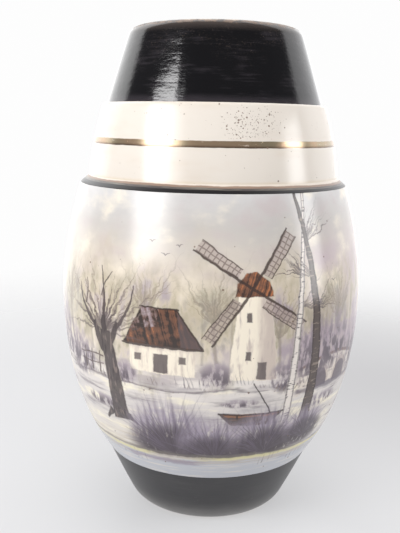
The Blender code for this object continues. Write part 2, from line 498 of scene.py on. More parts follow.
# %% Sharp edges and the texture map
CRISP_ANGLE = math.radians(32)
FRONT_STRIP, BACK_STRIP, COLLAR_FRONT, COLLAR_BACK, FOOT_STRIP = 0.42, 0.22, 0.15, 0.07, 0.06
STRIP_GAP = 0.003
STRIP_OF = {
    "belly_paint": 0,
    "ledge_glaze": 1,
    "band_glaze": 1,
    "neck_glaze": 1,
    "foot_glaze": 2,
    "inside_glaze": 3,
    "bare_clay": 4,
}


def crisp_edges(mesh):
    """Marks the sharp corners by angle, and the shallow crease between belly and foot by its height."""
    mesh.set_sharp_from_angle(angle=CRISP_ANGLE)
    sharp = mesh.attributes.get("sharp_edge") or mesh.attributes.new("sharp_edge", "BOOLEAN", "EDGE")
    heights = np.array([v.co.z for v in mesh.vertices])
    radii = np.array([math.hypot(v.co.x, v.co.y) for v in mesh.vertices])
    on_crease = (abs(heights - FOOT_TOP) < 1e-5) & (radii > FOOT_HIGH[0] - 0.001)
    ends = np.array([edge.vertices[:] for edge in mesh.edges])
    kept = np.array([item.value for item in sharp.data]) | on_crease[ends].all(axis=1)
    sharp.data.foreach_set("value", kept)


def along_profile(points):
    """Distance run along the profile at each of its points."""
    steps = [math.dist(a, b) for a, b in zip(points, points[1:])]
    return np.concatenate([[0.0], np.cumsum(steps)])


def texture_map(mesh):
    """Lays the surface out in strips: along the turn to the right, along the profile upwards."""
    distance = along_profile(profile.points)
    rows = np.array([item.value for item in mesh.attributes["profile_row"].data])
    far = np.interp(rows, np.arange(len(distance)), distance)
    names = [material.name for material in mesh.materials]
    spans = {}
    for strip in range(5):
        held = [k for k, name in enumerate(profile.finishes) if STRIP_OF[name] == strip]
        spans[strip] = (distance[min(held)], distance[min(max(held) + 1, len(distance) - 1)])
    rest = 1.0 - FRONT_STRIP - BACK_STRIP - COLLAR_FRONT - COLLAR_BACK - FOOT_STRIP
    tall = [FRONT_STRIP, BACK_STRIP, COLLAR_FRONT, COLLAR_BACK, FOOT_STRIP, 0.6 * rest, 0.4 * rest]
    tops = np.concatenate([[0.0], np.cumsum(tall)])
    layer = mesh.uv_layers.new(name="OFBake")
    for face in mesh.polygons:
        strip = STRIP_OF[names[face.material_index]]
        angle = math.atan2(face.center.x, -face.center.y)
        front = abs(angle) < 0.5 * math.pi
        halved = strip < 2
        place = 2 * strip + (0 if front else 1) if halved else strip + 2
        middle = 0.0 if (front or not halved) else math.pi
        width = math.pi if halved else math.tau
        low, high = spans[strip]
        for corner in face.loop_indices:
            vertex = mesh.loops[corner].vertex_index
            x, y, _ = mesh.vertices[vertex].co
            turn = math.atan2(x, -y) if math.hypot(x, y) > 1e-6 else angle
            turn += math.tau * round((angle - turn) / math.tau)
            swing = (turn - middle + math.pi) % math.tau - math.pi if halved else turn
            across = 0.5 + swing / width
            up = (far[vertex] - low) / (high - low)
            layer.data[corner].uv = (across, tops[place] + STRIP_GAP + up * (tall[place] - 2 * STRIP_GAP))
    return layer


crisp_edges(mesh)
texture_map(mesh)
mesh.attributes.remove(mesh.attributes["profile_row"])
vase = bpy.data.objects.new("vase_body", mesh)
bpy.context.scene.collection.objects.link(vase)
print("sharp edges", sum(item.value for item in mesh.attributes["sharp_edge"].data))

# %% [markdown]
# ## Colours and noise
# Colours are given as they look on screen and turned into light. Two helpers make most of a finish: a cloud
# of noise that can be stretched into streaks, and a soft step that turns a number into a mask. All of it
# reads the object's own coordinates, so the pattern stays on the vase from every side.

# %% Helpers for the finishes
MILLIMETRES = 1000.0


def tone(red, green, blue):
    """A colour picked on screen, 0 to 255, as linear light."""

    def linear(value):
        value = value / 255.0
        return value / 12.92 if value <= 0.04045 else ((value + 0.055) / 1.055) ** 2.4

    return (linear(red), linear(green), linear(blue), 1.0)


class Finish:
    """One material being built: its tree, its shader and the object's coordinates in millimetres."""

    def __init__(self, name, roughness, ior=1.5):
        material = materials[name]
        material.use_nodes = True
        self.tree = material.node_tree
        self.shader = self.tree.nodes["Principled BSDF"]
        self.set("Roughness", roughness)
        self.set("IOR", ior)
        self.place = self.node("ShaderNodeTexCoord").other("Object")
        parts = self.node("ShaderNodeSeparateXYZ", {}, {0: self.place})
        axes = (parts, parts.other("Y"), parts.other("Z"))
        self.x, self.y, self.height = [axis * MILLIMETRES for axis in axes]

    def node(self, kind, settings=None, sockets=None, output=0):
        """A node in this finish's tree."""
        return node(self.tree, kind, settings, sockets, output)

    def set(self, name, value):
        """Gives a shader socket a number, a colour or a wire."""
        if isinstance(value, Wire):
            self.tree.links.new(value.socket, self.shader.inputs[name])
        else:
            self.shader.inputs[name].default_value = value

    def scaled(self, size, stretch=(1.0, 1.0, 1.0), shift=0.0):
        """The coordinates in steps of size mm, drawn out along each axis by stretch, and moved aside."""
        spread = tuple(MILLIMETRES / (size * amount) for amount in stretch)
        sockets = {"Vector": self.place, "Scale": spread, "Location": (shift, shift * 0.7, shift * 1.3)}
        return self.node("ShaderNodeMapping", {"vector_type": "POINT"}, sockets)

    def cloud(self, size, stretch=(1.0, 1.0, 1.0), detail=2.0, shift=0.0):
        """Noise from 0 to 1 with clouds of this size in mm, drawn out along an axis by stretch."""
        place = self.scaled(size, stretch, shift)
        sockets = {"Vector": place, "Scale": 1.0, "Detail": detail, "Roughness": 0.55}
        return self.node("ShaderNodeTexNoise", {}, sockets)

    def step(self, value, low, high):
        """0 below low, 1 above high, smooth between. With high under low it falls instead."""
        settings = {"interpolation_type": "SMOOTHSTEP"}
        return self.node("ShaderNodeMapRange", settings, {"Value": value, "From Min": low, "From Max": high})

    def mix(self, under, over, mask):
        """The colour over laid on the colour under where the mask is 1."""
        return self.node("ShaderNodeMix", {"data_type": "RGBA"}, {0: mask, 6: under, 7: over}, output=2)

    def bump(self, height, distance, strength=1.0):
        """Raises the surface by height, where 1 is distance in mm."""
        sockets = {"Height": height, "Distance": distance / MILLIMETRES, "Strength": strength}
        self.set("Normal", self.node("ShaderNodeBump", {}, sockets))


print("cream glaze as light", [round(value, 3) for value in tone(232, 225, 214)])

# %% [markdown]
# ## The dark neck
# The neck wears a black glaze brushed on while the vase turned, so faint streaks run round it, with fine
# brown specks near the top. It lies thinner, and so greyer, in its lowest few millimetres. Close below the
# lip a grey painted sheen stands for the reflection on its rounded top, and a pale painted highlight runs
# along its crest. At the lip it is worn through, and the brown body shows in a thin broken line. A plain
# black would look like plastic: the streaks in the roughness and a very low bump are what make it look like
# glaze.

# %% Neck
BLACK_GLAZE = tone(12, 11, 13)
BLACK_THIN = tone(50, 46, 50)
NECK_DUST = tone(120, 112, 108)
NECK_SPECKS = tone(92, 79, 70)
LIP_PAINTED_SHEEN = tone(72, 64, 60)
WORN_BROWN = tone(114, 91, 74)
LIP_PAINTED_HIGHLIGHT = tone(206, 190, 170)
LIP_WEAR = 2.1
NECK_THIN_TOP = BAND_TOP * MILLIMETRES + 5.5
SPECKS_DEEP = 26.0


def neck_finish():
    """Black glaze with streaks and specks, thin at its base, and a worn lip with a painted sheen and
    highlight.
    """
    finish = Finish("neck_glaze", 0.12, ior=1.6)
    top = HEIGHT * MILLIMETRES
    streaks = finish.cloud(2.2, (9.0, 9.0, 0.5), detail=4.0)
    patches = finish.cloud(11.0, (1.8, 1.8, 0.7), detail=3.0, shift=5.0)
    thin = finish.step(streaks * 0.5 + patches * 0.6, 0.56, 0.78)
    colour = finish.mix(BLACK_GLAZE, BLACK_THIN, thin * 0.8)
    specks = finish.cloud(0.6, (1.6, 1.6, 1.0), detail=2.0, shift=9.0)
    colour = finish.mix(colour, NECK_DUST, finish.step(specks, 0.70, 0.78) * thin * 0.7)
    fine = finish.step(specks, 0.56, 0.76) * finish.step(finish.height, top - SPECKS_DEEP, top - 2.0)
    colour = finish.mix(colour, NECK_SPECKS, fine * finish.step(patches, 0.42, 0.60) * 0.5)
    # Grey painted sheen close below the lip, standing for the reflection on its rounded top.
    rubbed = finish.step(finish.height + streaks * 2.0, top - 5.0, top - 0.5)
    colour = finish.mix(colour, LIP_PAINTED_SHEEN, rubbed * 0.75)
    lowest = finish.step(finish.height + patches * 3.0, NECK_THIN_TOP, NECK_THIN_TOP - 3.5)
    colour = finish.mix(colour, BLACK_THIN, lowest * 0.8)
    ragged = finish.height + finish.cloud(2.4, (2.5, 2.5, 1.0), detail=4.0, shift=2.0) * 2.4 - 1.2
    worn = finish.step(ragged, top - LIP_WEAR, top - 0.6 * LIP_WEAR)
    chipped = finish.step(finish.cloud(1.6, (2.0, 2.0, 1.0), detail=3.0, shift=6.0), 0.42, 0.50)
    colour = finish.mix(colour, WORN_BROWN, worn * chipped * 0.8)
    # Pale painted highlight along the crest of the lip.
    bare = finish.step(ragged, top - 0.45, top - 0.15) * finish.step(finish.cloud(6.0, shift=4.0), 0.36, 0.5)
    colour = finish.mix(colour, LIP_PAINTED_HIGHLIGHT, bare * 0.6)
    finish.set("Base Color", colour)
    finish.set("Roughness", 0.04 + patches * 0.10 + streaks * 0.05 + worn * 0.3)
    ripples = finish.cloud(4.5, (1.8, 1.8, 0.9), detail=3.0, shift=12.0)
    peel = finish.cloud(1.3, (1.6, 1.6, 1.0), detail=2.0, shift=15.0)
    finish.bump(ripples + streaks * 0.3 + peel * 0.22, 0.15, 0.7)


neck_finish()
print("neck glazed")

# %% [markdown]
# ## The shoulder band
# A cream glaze with a thin gold line round it. Gas left a cluster of pinholes in the glaze above the line,
# right of centre, and they have caught dirt. The gold is a real metal film, worn in places, rosy here and
# more olive there, and darker along its lower edge. A ring of its own would stand out too far, because the
# film has no thickness to see, so it is a mask on Metallic as well as on colour. The pinholes come from cells
# rather than noise, because each is one round dot with an edge.

# %% Shoulder band
CREAM = tone(219, 211, 201)
CREAM_WARM = tone(212, 199, 184)
CREAM_TAN = tone(212, 196, 172)
GOLD, GOLD_OLIVE, GOLD_DARK = tone(186, 158, 130), tone(174, 158, 130), tone(112, 92, 76)
GOLD_LINE = (192.5, 195.5)
PINHOLE = tone(112, 90, 76)
PINHOLE_CLUSTER = (17.0, 203.0)
PINHOLE_SPREAD = (17.0, 9.5)
LONE_PITS = 0.988


def gold_line(finish):
    """Mask of the gold line, its edges a little uneven and its film worn thin in places."""
    low, high = GOLD_LINE
    uneven = finish.height + finish.cloud(7.0, shift=1.0) * 0.5 - 0.25
    line = finish.step(uneven, low - 0.15, low + 0.15) * finish.step(uneven, high + 0.15, high - 0.15)
    worn = finish.step(finish.cloud(2.2, (2.0, 2.0, 0.5), detail=4.0, shift=6.0), 0.62, 0.74)
    return line * (1.0 - worn * 0.6)


def pinholes(finish, cell, crowding):
    """Mask of small dark pits, one at most in each cell, close together in one cluster and rare elsewhere."""
    cells = {"Vector": finish.scaled(cell, shift=cell), "Scale": 1.0}
    pits = finish.node("ShaderNodeTexVoronoi", {"feature": "F1"}, cells)
    chance = finish.node("ShaderNodeSeparateColor", {}, {0: pits.other("Color")})
    across = (finish.x - PINHOLE_CLUSTER[0]) / PINHOLE_SPREAD[0]
    up = (finish.height - PINHOLE_CLUSTER[1]) / PINHOLE_SPREAD[1]
    near = finish.step((across * across + up * up) ** 0.5, 1.1, 0.3) * (finish.y < 0.0)
    alone = chance > LONE_PITS
    there = alone.math("MAXIMUM", alone, chance.other("Blue") < near * crowding)
    size = chance.other("Green") * chance.other("Green") * 0.24 + 0.14
    return finish.step(pits - size, 0.06, -0.06) * there


def band_finish():
    """Cream glaze that turns tan at the ledge, gold line and pinholes."""
    finish = Finish("band_glaze", 0.16, ior=1.5)
    clouds = finish.cloud(24.0, (1.4, 1.4, 0.5), detail=3.0)
    colour = finish.mix(CREAM, CREAM_WARM, finish.step(clouds, 0.45, 0.75) * 0.6)
    uneven = finish.height + finish.cloud(8.0, detail=3.0, shift=9.0) * 1.2 - 0.6
    colour = finish.mix(colour, CREAM_TAN, finish.step(uneven, 178.4, 176.4) * 0.7)
    pits = pinholes(finish, 0.75, 0.85)
    pits = pits.math("MAXIMUM", pits, pinholes(finish, 1.3, 0.55))
    colour = finish.mix(colour, PINHOLE, pits * 0.85)
    gold = gold_line(finish)
    film = finish.mix(GOLD, GOLD_OLIVE, finish.step(finish.cloud(16.0, shift=13.0), 0.40, 0.60))
    rubbed = finish.mix(film, GOLD_DARK, finish.step(finish.height, GOLD_LINE[0] + 1.4, GOLD_LINE[0]))
    colour = finish.mix(colour, rubbed, gold)
    finish.set("Base Color", colour)
    finish.set("Metallic", gold * 0.7)
    ripples = finish.cloud(9.0, (2.5, 2.5, 0.7), shift=3.0)
    finish.set("Roughness", 0.16 + clouds * 0.10 + pits * 0.4)
    finish.bump(ripples * 0.5 - pits * 1.0 + gold * 0.1, 0.08, 0.7)


band_finish()
print("band glazed, gold line from", GOLD_LINE[0], "to", GOLD_LINE[1], "mm")

# %% [markdown]
# ## The ledge
# The narrow sloping ledge is brushed with the dark glaze. It was wiped off at the top of the slope, a little
# further down at the right. Below that come a tan line and a grey one, where it is thin, and at the lower
# edge it is thick and looks black. The lines follow the height, so they are steps on it, with a little noise
# added first that makes them waver as a sponge leaves them.

# %% Ledge
LEDGE_CREAM = tone(214, 203, 190)
LEDGE_TAN = (tone(158, 134, 114), tone(122, 102, 92))
LEDGE_GREY = (tone(118, 113, 104), tone(76, 70, 70))
LEDGE_BLACK = tone(28, 26, 27)
WIPED_SLOPE = 0.006
TAN_FROM, CREAM_FROM, BLACK_TO = 175.0, 175.8, 174.5


def ledge_finish():
    """Thin dark glaze: wiped off at the top, then a tan and a grey line, and black at the lower edge."""
    finish = Finish("ledge_glaze", 0.3)
    streaks = finish.cloud(2.0, (8.0, 8.0, 0.6), detail=3.0)
    waves = finish.cloud(9.0, detail=3.0, shift=2.0)
    wiped = finish.height + finish.x * WIPED_SLOPE + (waves - 0.5) * 0.9 + (streaks - 0.5) * 0.5
    grey = finish.mix(*LEDGE_GREY, finish.step(waves + streaks, 0.75, 1.25))
    tan = finish.mix(*LEDGE_TAN, streaks)
    colour = finish.mix(grey, tan, finish.step(wiped, TAN_FROM, TAN_FROM + 0.3))
    colour = finish.mix(colour, LEDGE_CREAM, finish.step(wiped, CREAM_FROM, CREAM_FROM + 0.4))
    colour = finish.mix(colour, LEDGE_BLACK, finish.step(wiped, BLACK_TO, BLACK_TO - 0.4))
    finish.set("Base Color", colour)
    finish.set("Roughness", 0.22 + streaks * 0.2)
    finish.bump(streaks, 0.08, 0.6)


ledge_finish()
print("ledge glazed")

# %% [markdown]
# ## The foot
# The foot has the same black glaze, but thin and half matt. Its lower part is painted paler towards the
# table, a painted reflection of the pale table. It shows horizontal brush marks, a warmer worn edge and small
# pale rubs. The brush marks are noise drawn out round the foot, which is quicker than modelled grooves and as
# good at this size.

# %% Foot
FOOT_DARK, FOOT_THIN, FOOT_PAINTED_REFLECTION = tone(34, 33, 36), tone(52, 51, 52), tone(124, 122, 120)
FOOT_RUBS, FOOT_WORN = tone(128, 122, 118), tone(122, 104, 90)


def foot_finish():
    """Satin charcoal glaze with a painted reflection of the table low down, worn at its lower edge."""
    finish = Finish("foot_glaze", 0.42, ior=1.6)
    streaks = finish.cloud(1.5, (12.0, 12.0, 0.5), detail=4.0)
    patches = finish.cloud(14.0, (1.6, 1.6, 0.7), detail=3.0, shift=3.0)
    colour = finish.mix(FOOT_DARK, FOOT_THIN, finish.step(streaks * 0.4 + patches * 0.7, 0.45, 0.85))
    # Paler towards the table: a painted reflection of the pale table.
    lower = finish.step(finish.height + patches * 8.0, 19.0, 3.0)
    colour = finish.mix(colour, FOOT_PAINTED_REFLECTION, lower * 0.85)
    rubs = finish.step(finish.cloud(1.2, (3.0, 3.0, 0.6), detail=4.0, shift=8.0), 0.66, 0.78)
    colour = finish.mix(colour, FOOT_RUBS, rubs * 0.35)
    ragged = finish.height + finish.cloud(3.5, (2.0, 2.0, 1.0), detail=4.0, shift=6.0) * 2.0 - 1.0
    worn = finish.step(ragged, 2.4, 0.9)
    colour = finish.mix(colour, FOOT_WORN, worn * 0.7)
    finish.set("Base Color", colour)
    finish.set("Roughness", 0.24 + patches * 0.14 + streaks * 0.06 + worn * 0.2)
    finish.bump(streaks * 0.6 + patches * 0.5, 0.06, 0.5)


foot_finish()
print("foot glazed")

# %% [markdown]
# ## Inside and underside
# The inside is poured full of cream glaze and emptied, which leaves soft runs down the wall, and the dark
# glaze of the neck is carried over the lip. The ring it stands on stays bare clay, because glaze would stick
# to the kiln shelf. It shows fine turning marks, and dirt where it touches the table.

# %% Inside and underside
INSIDE_CREAM, INSIDE_RUNS, INSIDE_DUST = tone(226, 216, 200), tone(205, 190, 170), tone(150, 135, 118)
DARK_FROM = 239.0
CLAY, CLAY_DEEP, CLAY_SPECKS = tone(196, 176, 150), tone(168, 146, 120), tone(120, 102, 84)
CLAY_DIRT = tone(110, 98, 88)
TOUCHING = (31.0, 38.5)


def inside_finish():
    """Poured cream glaze with runs, a little dust at the bottom and a dark band carried over the lip."""
    finish = Finish("inside_glaze", 0.25, ior=1.5)
    runs = finish.cloud(6.0, (1.0, 1.0, 9.0), detail=2.0)
    clouds = finish.cloud(20.0, detail=3.0, shift=4.0)
    colour = finish.mix(INSIDE_CREAM, INSIDE_RUNS, runs * 0.5 + clouds * 0.4)
    dust = finish.step(finish.height, 60.0, 10.0) * finish.step(clouds, 0.3, 0.7)
    colour = finish.mix(colour, INSIDE_DUST, dust * 0.6)
    edge = finish.height + finish.cloud(7.0, (1.5, 1.5, 1.0), detail=3.0, shift=7.0) * 5.0
    dark = finish.step(edge, DARK_FROM, DARK_FROM + 1.2)
    colour = finish.mix(colour, BLACK_THIN, dark * 0.95)
    finish.set("Base Color", colour)
    finish.set("Roughness", 0.18 + clouds * 0.12 + dust * 0.35)
    finish.bump(runs, 0.15, 0.5)


def clay_finish():
    """Bare buff clay with turning marks, dirt and a few dark specks."""
    finish = Finish("bare_clay", 0.85, ior=1.45)
    radius = (finish.x * finish.x + finish.y * finish.y) ** 0.5
    turns = radius * 5.5 + finish.cloud(9.0) * 2.0
    rings = turns.math("SINE", turns)
    grain = finish.cloud(0.7, detail=3.0)
    colour = finish.mix(CLAY, CLAY_DEEP, finish.cloud(10.0, detail=4.0) * 0.8)
    colour = finish.mix(colour, CLAY_SPECKS, finish.step(grain, 0.62, 0.8) * 0.6)
    low, high = TOUCHING
    rubbed = finish.step(radius, low, low + 2.5) * finish.step(radius, high, high - 2.5)
    colour = finish.mix(colour, CLAY_DIRT, rubbed * finish.step(grain, 0.35, 0.6) * 0.55)
    finish.set("Base Color", colour)
    finish.set("Roughness", 0.75 + grain * 0.2)
    finish.bump(rings * 0.25 + grain, 0.08, 0.7)


inside_finish()
clay_finish()
print("inside and underside finished")

# %% [markdown]
# ## The painted belly
# The picture was brushed on in thin underglaze colours and covered with clear gloss glaze. It is drawn here
# as sums on the surface: `s` is the distance round the belly from the middle of the picture and `h` the
# height, both in mm. A slow noise shifts both a little, so that no edge is straighter than a brush leaves it.
# One tree with every stroke would be slow, so the belly is cut into sheets, each with its own material. A
# sheet takes only the strokes that reach it, and the washes run on unbroken from sheet to sheet.

# %% Sheets
ROUND = 74.0
FAR_SIDE = 1000.0
HALF_TURN = ROUND * math.pi / 2.0
SHEET_SIDES = (-HALF_TURN, -40.0, 0.0, 38.0, HALF_TURN)
SHEET_SPLIT = 88.0
SHEET_MARGIN = 4.0
HAND_DRIFT = 1.8
HAND_SHAKE = 5.0


def sheet_list():
    """The sheets, each (left, right, low, high): four columns in two rows in front, two behind."""
    sheets = {}
    low, high = FOOT_TOP * MILLIMETRES, LEDGE_BOTTOM * MILLIMETRES
    for column, (left, right) in enumerate(zip(SHEET_SIDES, SHEET_SIDES[1:])):
        sheets[f"belly_low_{column}"] = (left, right, low, SHEET_SPLIT)
        sheets[f"belly_high_{column}"] = (left, right, SHEET_SPLIT, high)
    sheets["belly_far_0"] = (FAR_SIDE - HALF_TURN, FAR_SIDE, low, high)
    sheets["belly_far_1"] = (FAR_SIDE, FAR_SIDE + HALF_TURN, low, high)
    return sheets


def cut_sheets(mesh, sheets):
    """Gives each face of the painted belly the material of its sheet."""
    whole = mesh.materials.find("belly_paint")
    for name in sheets:
        materials[name] = bpy.data.materials.new(name)
        mesh.materials.append(materials[name])
    slots = {name: mesh.materials.find(name) for name in sheets}
    for face in mesh.polygons:
        if face.material_index == whole:
            x, y, height = [value * MILLIMETRES for value in face.center]
            s = math.atan2(x, -y) * ROUND if y < 0.0 else math.atan2(-x, y) * ROUND + FAR_SIDE
            for name, (left, right, low, high) in sheets.items():
                if left <= s <= right and low - 1.0 <= height <= high + 1.0:
                    face.material_index = slots[name]
    mesh.materials.pop(index=whole)


sheets = sheet_list()
cut_sheets(mesh, sheets)
print(len(sheets), "sheets on", len(mesh.materials), "material slots")

# %% [markdown]
# ## Brushes
# A handful of brushes draw everything: a filled shape, a tapered stroke, a fan of blades from one root, and a
# row of upright stems. The last three are node groups with their sizes as inputs, made once because the
# picture uses them many times. In a fan or a row each blade has a whole number, and a random number from it
# sets length and lean, so a hundred blades cost no more than one.

# %% Brush groups
def brush_group(name, inputs, draw):
    """A node group with number inputs by name and one output, drawn by a function of wires."""
    tree = bpy.data.node_groups.new(name, "ShaderNodeTree")
    for label in inputs:
        tree.interface.new_socket(label, in_out="INPUT", socket_type="NodeSocketFloat")
    tree.interface.new_socket("Mask", in_out="OUTPUT", socket_type="NodeSocketFloat")
    given = node(tree, "NodeGroupInput")
    node(tree, "NodeGroupOutput", {}, {"Mask": draw(*[given.other(label) for label in inputs])})
    return tree


def three_chances(index):
    """Three random numbers for a whole number."""
    rolled = node(index.tree, "ShaderNodeTexWhiteNoise", {"noise_dimensions": "1D"}, {"W": index}, output=1)
    parts = node(index.tree, "ShaderNodeSeparateColor", {}, {0: rolled})
    return parts, parts.other("Green"), parts.other("Blue")


def soft_edge(value, soft):
    """1 where the value is above soft, 0 below minus soft, smooth between."""
    sockets = {"Value": value, "From Min": -soft, "From Max": soft}
    return node(value.tree, "ShaderNodeMapRange", {"interpolation_type": "SMOOTHSTEP"}, sockets)


def draw_fan(s, h, base_s, base_h, reach, spread, count, width, seed, lean, droop, soft):
    """Blades from one root. The angle is 0 upright, and blades droop outwards as they get longer."""
    across, up = s - base_s, h - base_h
    far = (across * across + up * up) ** 0.5
    share = far / reach
    angle = (across.math("ARCTAN2", across, up) - lean) * (1.0 - share * droop)
    turn = angle * (count / spread) + seed * 17.3
    index = turn.math("FLOOR", turn)
    length, shift, strength = three_chances(index + seed * 7.7)
    aside = abs(turn - index - shift * 0.6 - 0.2) * far * (spread / count)
    half = (1.0 - share / (length * 0.55 + 0.45)) * width * 0.5
    return soft_edge(half - aside, soft) * (abs(angle) < spread * 0.5) * (strength * 0.5 + 0.5)


def draw_row(s, h, base, reach, cell, width, seed, lean, sway, soft):
    """Upright blades side by side, each with its own height and slant."""
    up = h - base
    share = up / reach
    turn = (s + up * lean) / cell + seed * 3.7
    index = turn.math("FLOOR", turn)
    length, shift, strength = three_chances(index + seed * 5.3)
    aside = abs(turn - index - shift * 0.5 - 0.25 - (strength - 0.5) * share * sway) * cell
    half = (1.0 - share / (length * 0.6 + 0.4)) * width * 0.5
    return soft_edge(half - aside, soft) * (up > 0.0) * (strength * 0.5 + 0.5)


def draw_stroke(s, h, pull_s, pull_h, pull_0, side_s, side_h, side_0, length, wide, taper, bend):
    """Distance inside a tapered stroke: along it runs from 0 to 1, across it from its middle line."""
    along = s * pull_s + h * pull_h + pull_0
    across = s * side_s + h * side_h + side_0 - along * (1.0 - along) * bend
    half = along * taper + wide
    return half.math("MINIMUM", half - abs(across), (0.5 - abs(along - 0.5)) * length)


def labels(listed):
    """The input names of a brush: the place on the picture, then those in the list."""
    return ["s", "h", *listed.split(", ")]


FAN_INPUTS = labels("Base s, Base h, Reach, Spread, Count, Width, Seed, Lean, Droop, Soft")
ROW_INPUTS = labels("Base, Reach, Cell, Width, Seed, Lean, Sway, Soft")
STROKE_INPUTS = labels("Pull s, Pull h, Pull 0, Side s, Side h, Side 0, Length, Wide, Taper, Bend")
FAN = brush_group("fan", FAN_INPUTS, draw_fan)
ROW = brush_group("row", ROW_INPUTS, draw_row)
STROKE = brush_group("stroke", STROKE_INPUTS, draw_stroke)
print("brush groups", [len(group.nodes) for group in (FAN, ROW, STROKE)], "nodes")

# %% [markdown]
# ## A sheet and its brushes
# Each sheet of the picture is one Painting. It knows its edges, lays colours through masks, and turns
# corners, the ends of a stroke or the root of a fan into such a mask. Twigs use a place that is shaken more,
# which makes them crooked.

# %% Brushes
class Painting(Finish):
    """One sheet of the picture, with its brushes."""

    def __init__(self, name, edges):
        super().__init__(name, 0.2)
        self.edges = edges
        front = self.y < 0.0
        facing = front * 2.0 - 1.0
        angle = facing.math("ARCTAN2", self.x * facing, -(self.y * facing))
        hand = self.pair_of_clouds(5.0, 4.0, 11.0)
        self.s = angle * ROUND + (1.0 - front) * FAR_SIDE + hand * HAND_DRIFT - 0.5 * HAND_DRIFT
        self.h = self.height + hand.other("Green") * HAND_DRIFT - 0.5 * HAND_DRIFT
        self.spot = self.node("ShaderNodeCombineXYZ", {}, {0: self.s, 1: self.h, 2: 1.0})
        shake = self.pair_of_clouds(4.0, 3.0, 47.0)
        half = 0.5 * HAND_SHAKE
        self.crooked = (self.s + shake * HAND_SHAKE - half, self.h + shake.other("Green") * HAND_SHAKE - half)
        self.colour = None

    def pair_of_clouds(self, size, detail, shift):
        """Two clouds that don't follow each other: the value itself, and its other output Green."""
        cloud = self.cloud(size, detail=detail, shift=shift)
        return self.node("ShaderNodeSeparateColor", {}, {0: cloud.other("Color")})

    def reaches(self, left, right, low, high):
        """Whether a part of the picture in this box can touch the sheet."""
        beside = right + SHEET_MARGIN < self.edges[0] or left - SHEET_MARGIN > self.edges[1]
        return not (beside or high + SHEET_MARGIN < self.edges[2] or low - SHEET_MARGIN > self.edges[3])

    def lay(self, colour, mask, strength=1.0):
        """Lays a colour on the picture through a mask."""
        self.colour = self.mix(self.colour, colour, mask * strength if strength != 1.0 else mask)

    def dot(self, fixed):
        """The dot product of the spot and a fixed vector."""
        settings = {"operation": "DOT_PRODUCT"}
        return self.node("ShaderNodeVectorMath", settings, {0: self.spot, 1: fixed}).other("Value")

    def side_of(self, start, end):
        """Distance in mm to the left of the line from start to end."""
        run, rise = end[0] - start[0], end[1] - start[1]
        length = math.hypot(run, rise)
        across = (-rise / length, run / length)
        return self.dot((*across, -(across[0] * start[0] + across[1] * start[1])))

    def shape(self, points, soft=0.35):
        """Mask of a convex shape given by its corners."""
        turns = sum(a[0] * b[1] - b[0] * a[1] for a, b in zip(points, points[1:] + points[:1]))
        corners = points if turns > 0.0 else points[::-1]
        inside = None
        for start, end in zip(corners, corners[1:] + corners[:1]):
            side = self.side_of(start, end)
            inside = side if inside is None else inside.math("MINIMUM", inside, side)
        return self.step(inside, -soft, soft)

    def brush(self, group, values, place=None):
        """A brush group with its inputs in order, after the place."""
        sockets = dict(enumerate([*(place or (self.s, self.h)), *values]))
        return self.node("ShaderNodeGroup", {"node_tree": group}, sockets)

    def stroke(self, start, end, wide, bend=0.0):
        """Distance inside a brush stroke, wide mm at each end, bowed to its left by bend mm."""
        run, rise = end[0] - start[0], end[1] - start[1]
        length = math.hypot(run, rise)
        pull, side = (run / length**2, rise / length**2), (-rise / length, run / length)
        lines = []
        for s, h in (pull, side):
            lines += [s, h, -(s * start[0] + h * start[1])]
        return self.brush(STROKE, [*lines, length, 0.5 * wide[0], 0.5 * (wide[1] - wide[0]), 4.0 * bend])

    def strokes(self, listed, soft=0.25):
        """Mask of several strokes, each (start, end, wide) or (start, end, wide, bend)."""
        inside = None
        for made in listed:
            one = self.stroke(*made)
            inside = one if inside is None else inside.math("MAXIMUM", inside, one)
        return self.step(inside, -soft, soft)

    def between(self, value, low, high, soft):
        """Mask of the values from low to high with soft edges."""
        return self.step(value, low - soft, low + soft) * self.step(value, high + soft, high - soft)

    def stripes(self, value, size, shift):
        """Noise in stripes across a value in mm."""
        sockets = {"W": value.math("MULTIPLY_ADD", value, 1.0 / size, shift), "Scale": 1.0, "Detail": 2.0}
        return self.node("ShaderNodeTexNoise", {"noise_dimensions": "1D"}, sockets)

    def fan(self, base, reach, count, spread, width, seed, lean=0.0, droop=0.3, soft=0.3, place=None):
        """Mask of blades or twigs that spread from one point. Angles are in degrees from upright."""
        values = [*base, reach, math.radians(spread), count, width, seed, math.radians(lean), droop, soft]
        return self.brush(FAN, values, place)

    def twigs(self, base, reach, count, spread, width, seed, lean=0.0, droop=0.0, soft=0.3):
        """A fan of crooked twigs."""
        return self.fan(base, reach, count, spread, width, seed, lean, droop, soft, self.crooked)

    def row(self, base, reach, cell, width, seed, lean=0.0, sway=0.5, soft=0.3):
        """Mask of upright blades, stems or trunks that stand side by side on a line."""
        return self.brush(ROW, [base, reach, cell, width, seed, lean, sway, soft])


print("brushes ready")

# %% [markdown]
# ## Washes
# First come the broad washes: warm grey sky, a cream glow through mist, lilac haze to the right, pale ground
# and water. They were wiped on with a wide brush, so they are cloudy, with streaks. A colour ramp over the
# height gives the levels, and clouds shift the height before the ramp reads it, so no level ends in a line.

# %% Washes
EVERYWHERE = (-HALF_TURN, FAR_SIDE + HALF_TURN)
WASH = (
    (32.0, tone(176, 178, 188)),
    (43.5, tone(188, 187, 196)),
    (47.0, tone(214, 208, 200)),
    (58.0, tone(214, 207, 198)),
    (72.0, tone(206, 200, 196)),
    (88.0, tone(222, 215, 209)),
    (104.0, tone(224, 213, 196)),
    (124.0, tone(214, 202, 182)),
    (142.0, tone(206, 196, 184)),
    (158.0, tone(190, 185, 180)),
    (173.0, tone(198, 196, 195)),
)


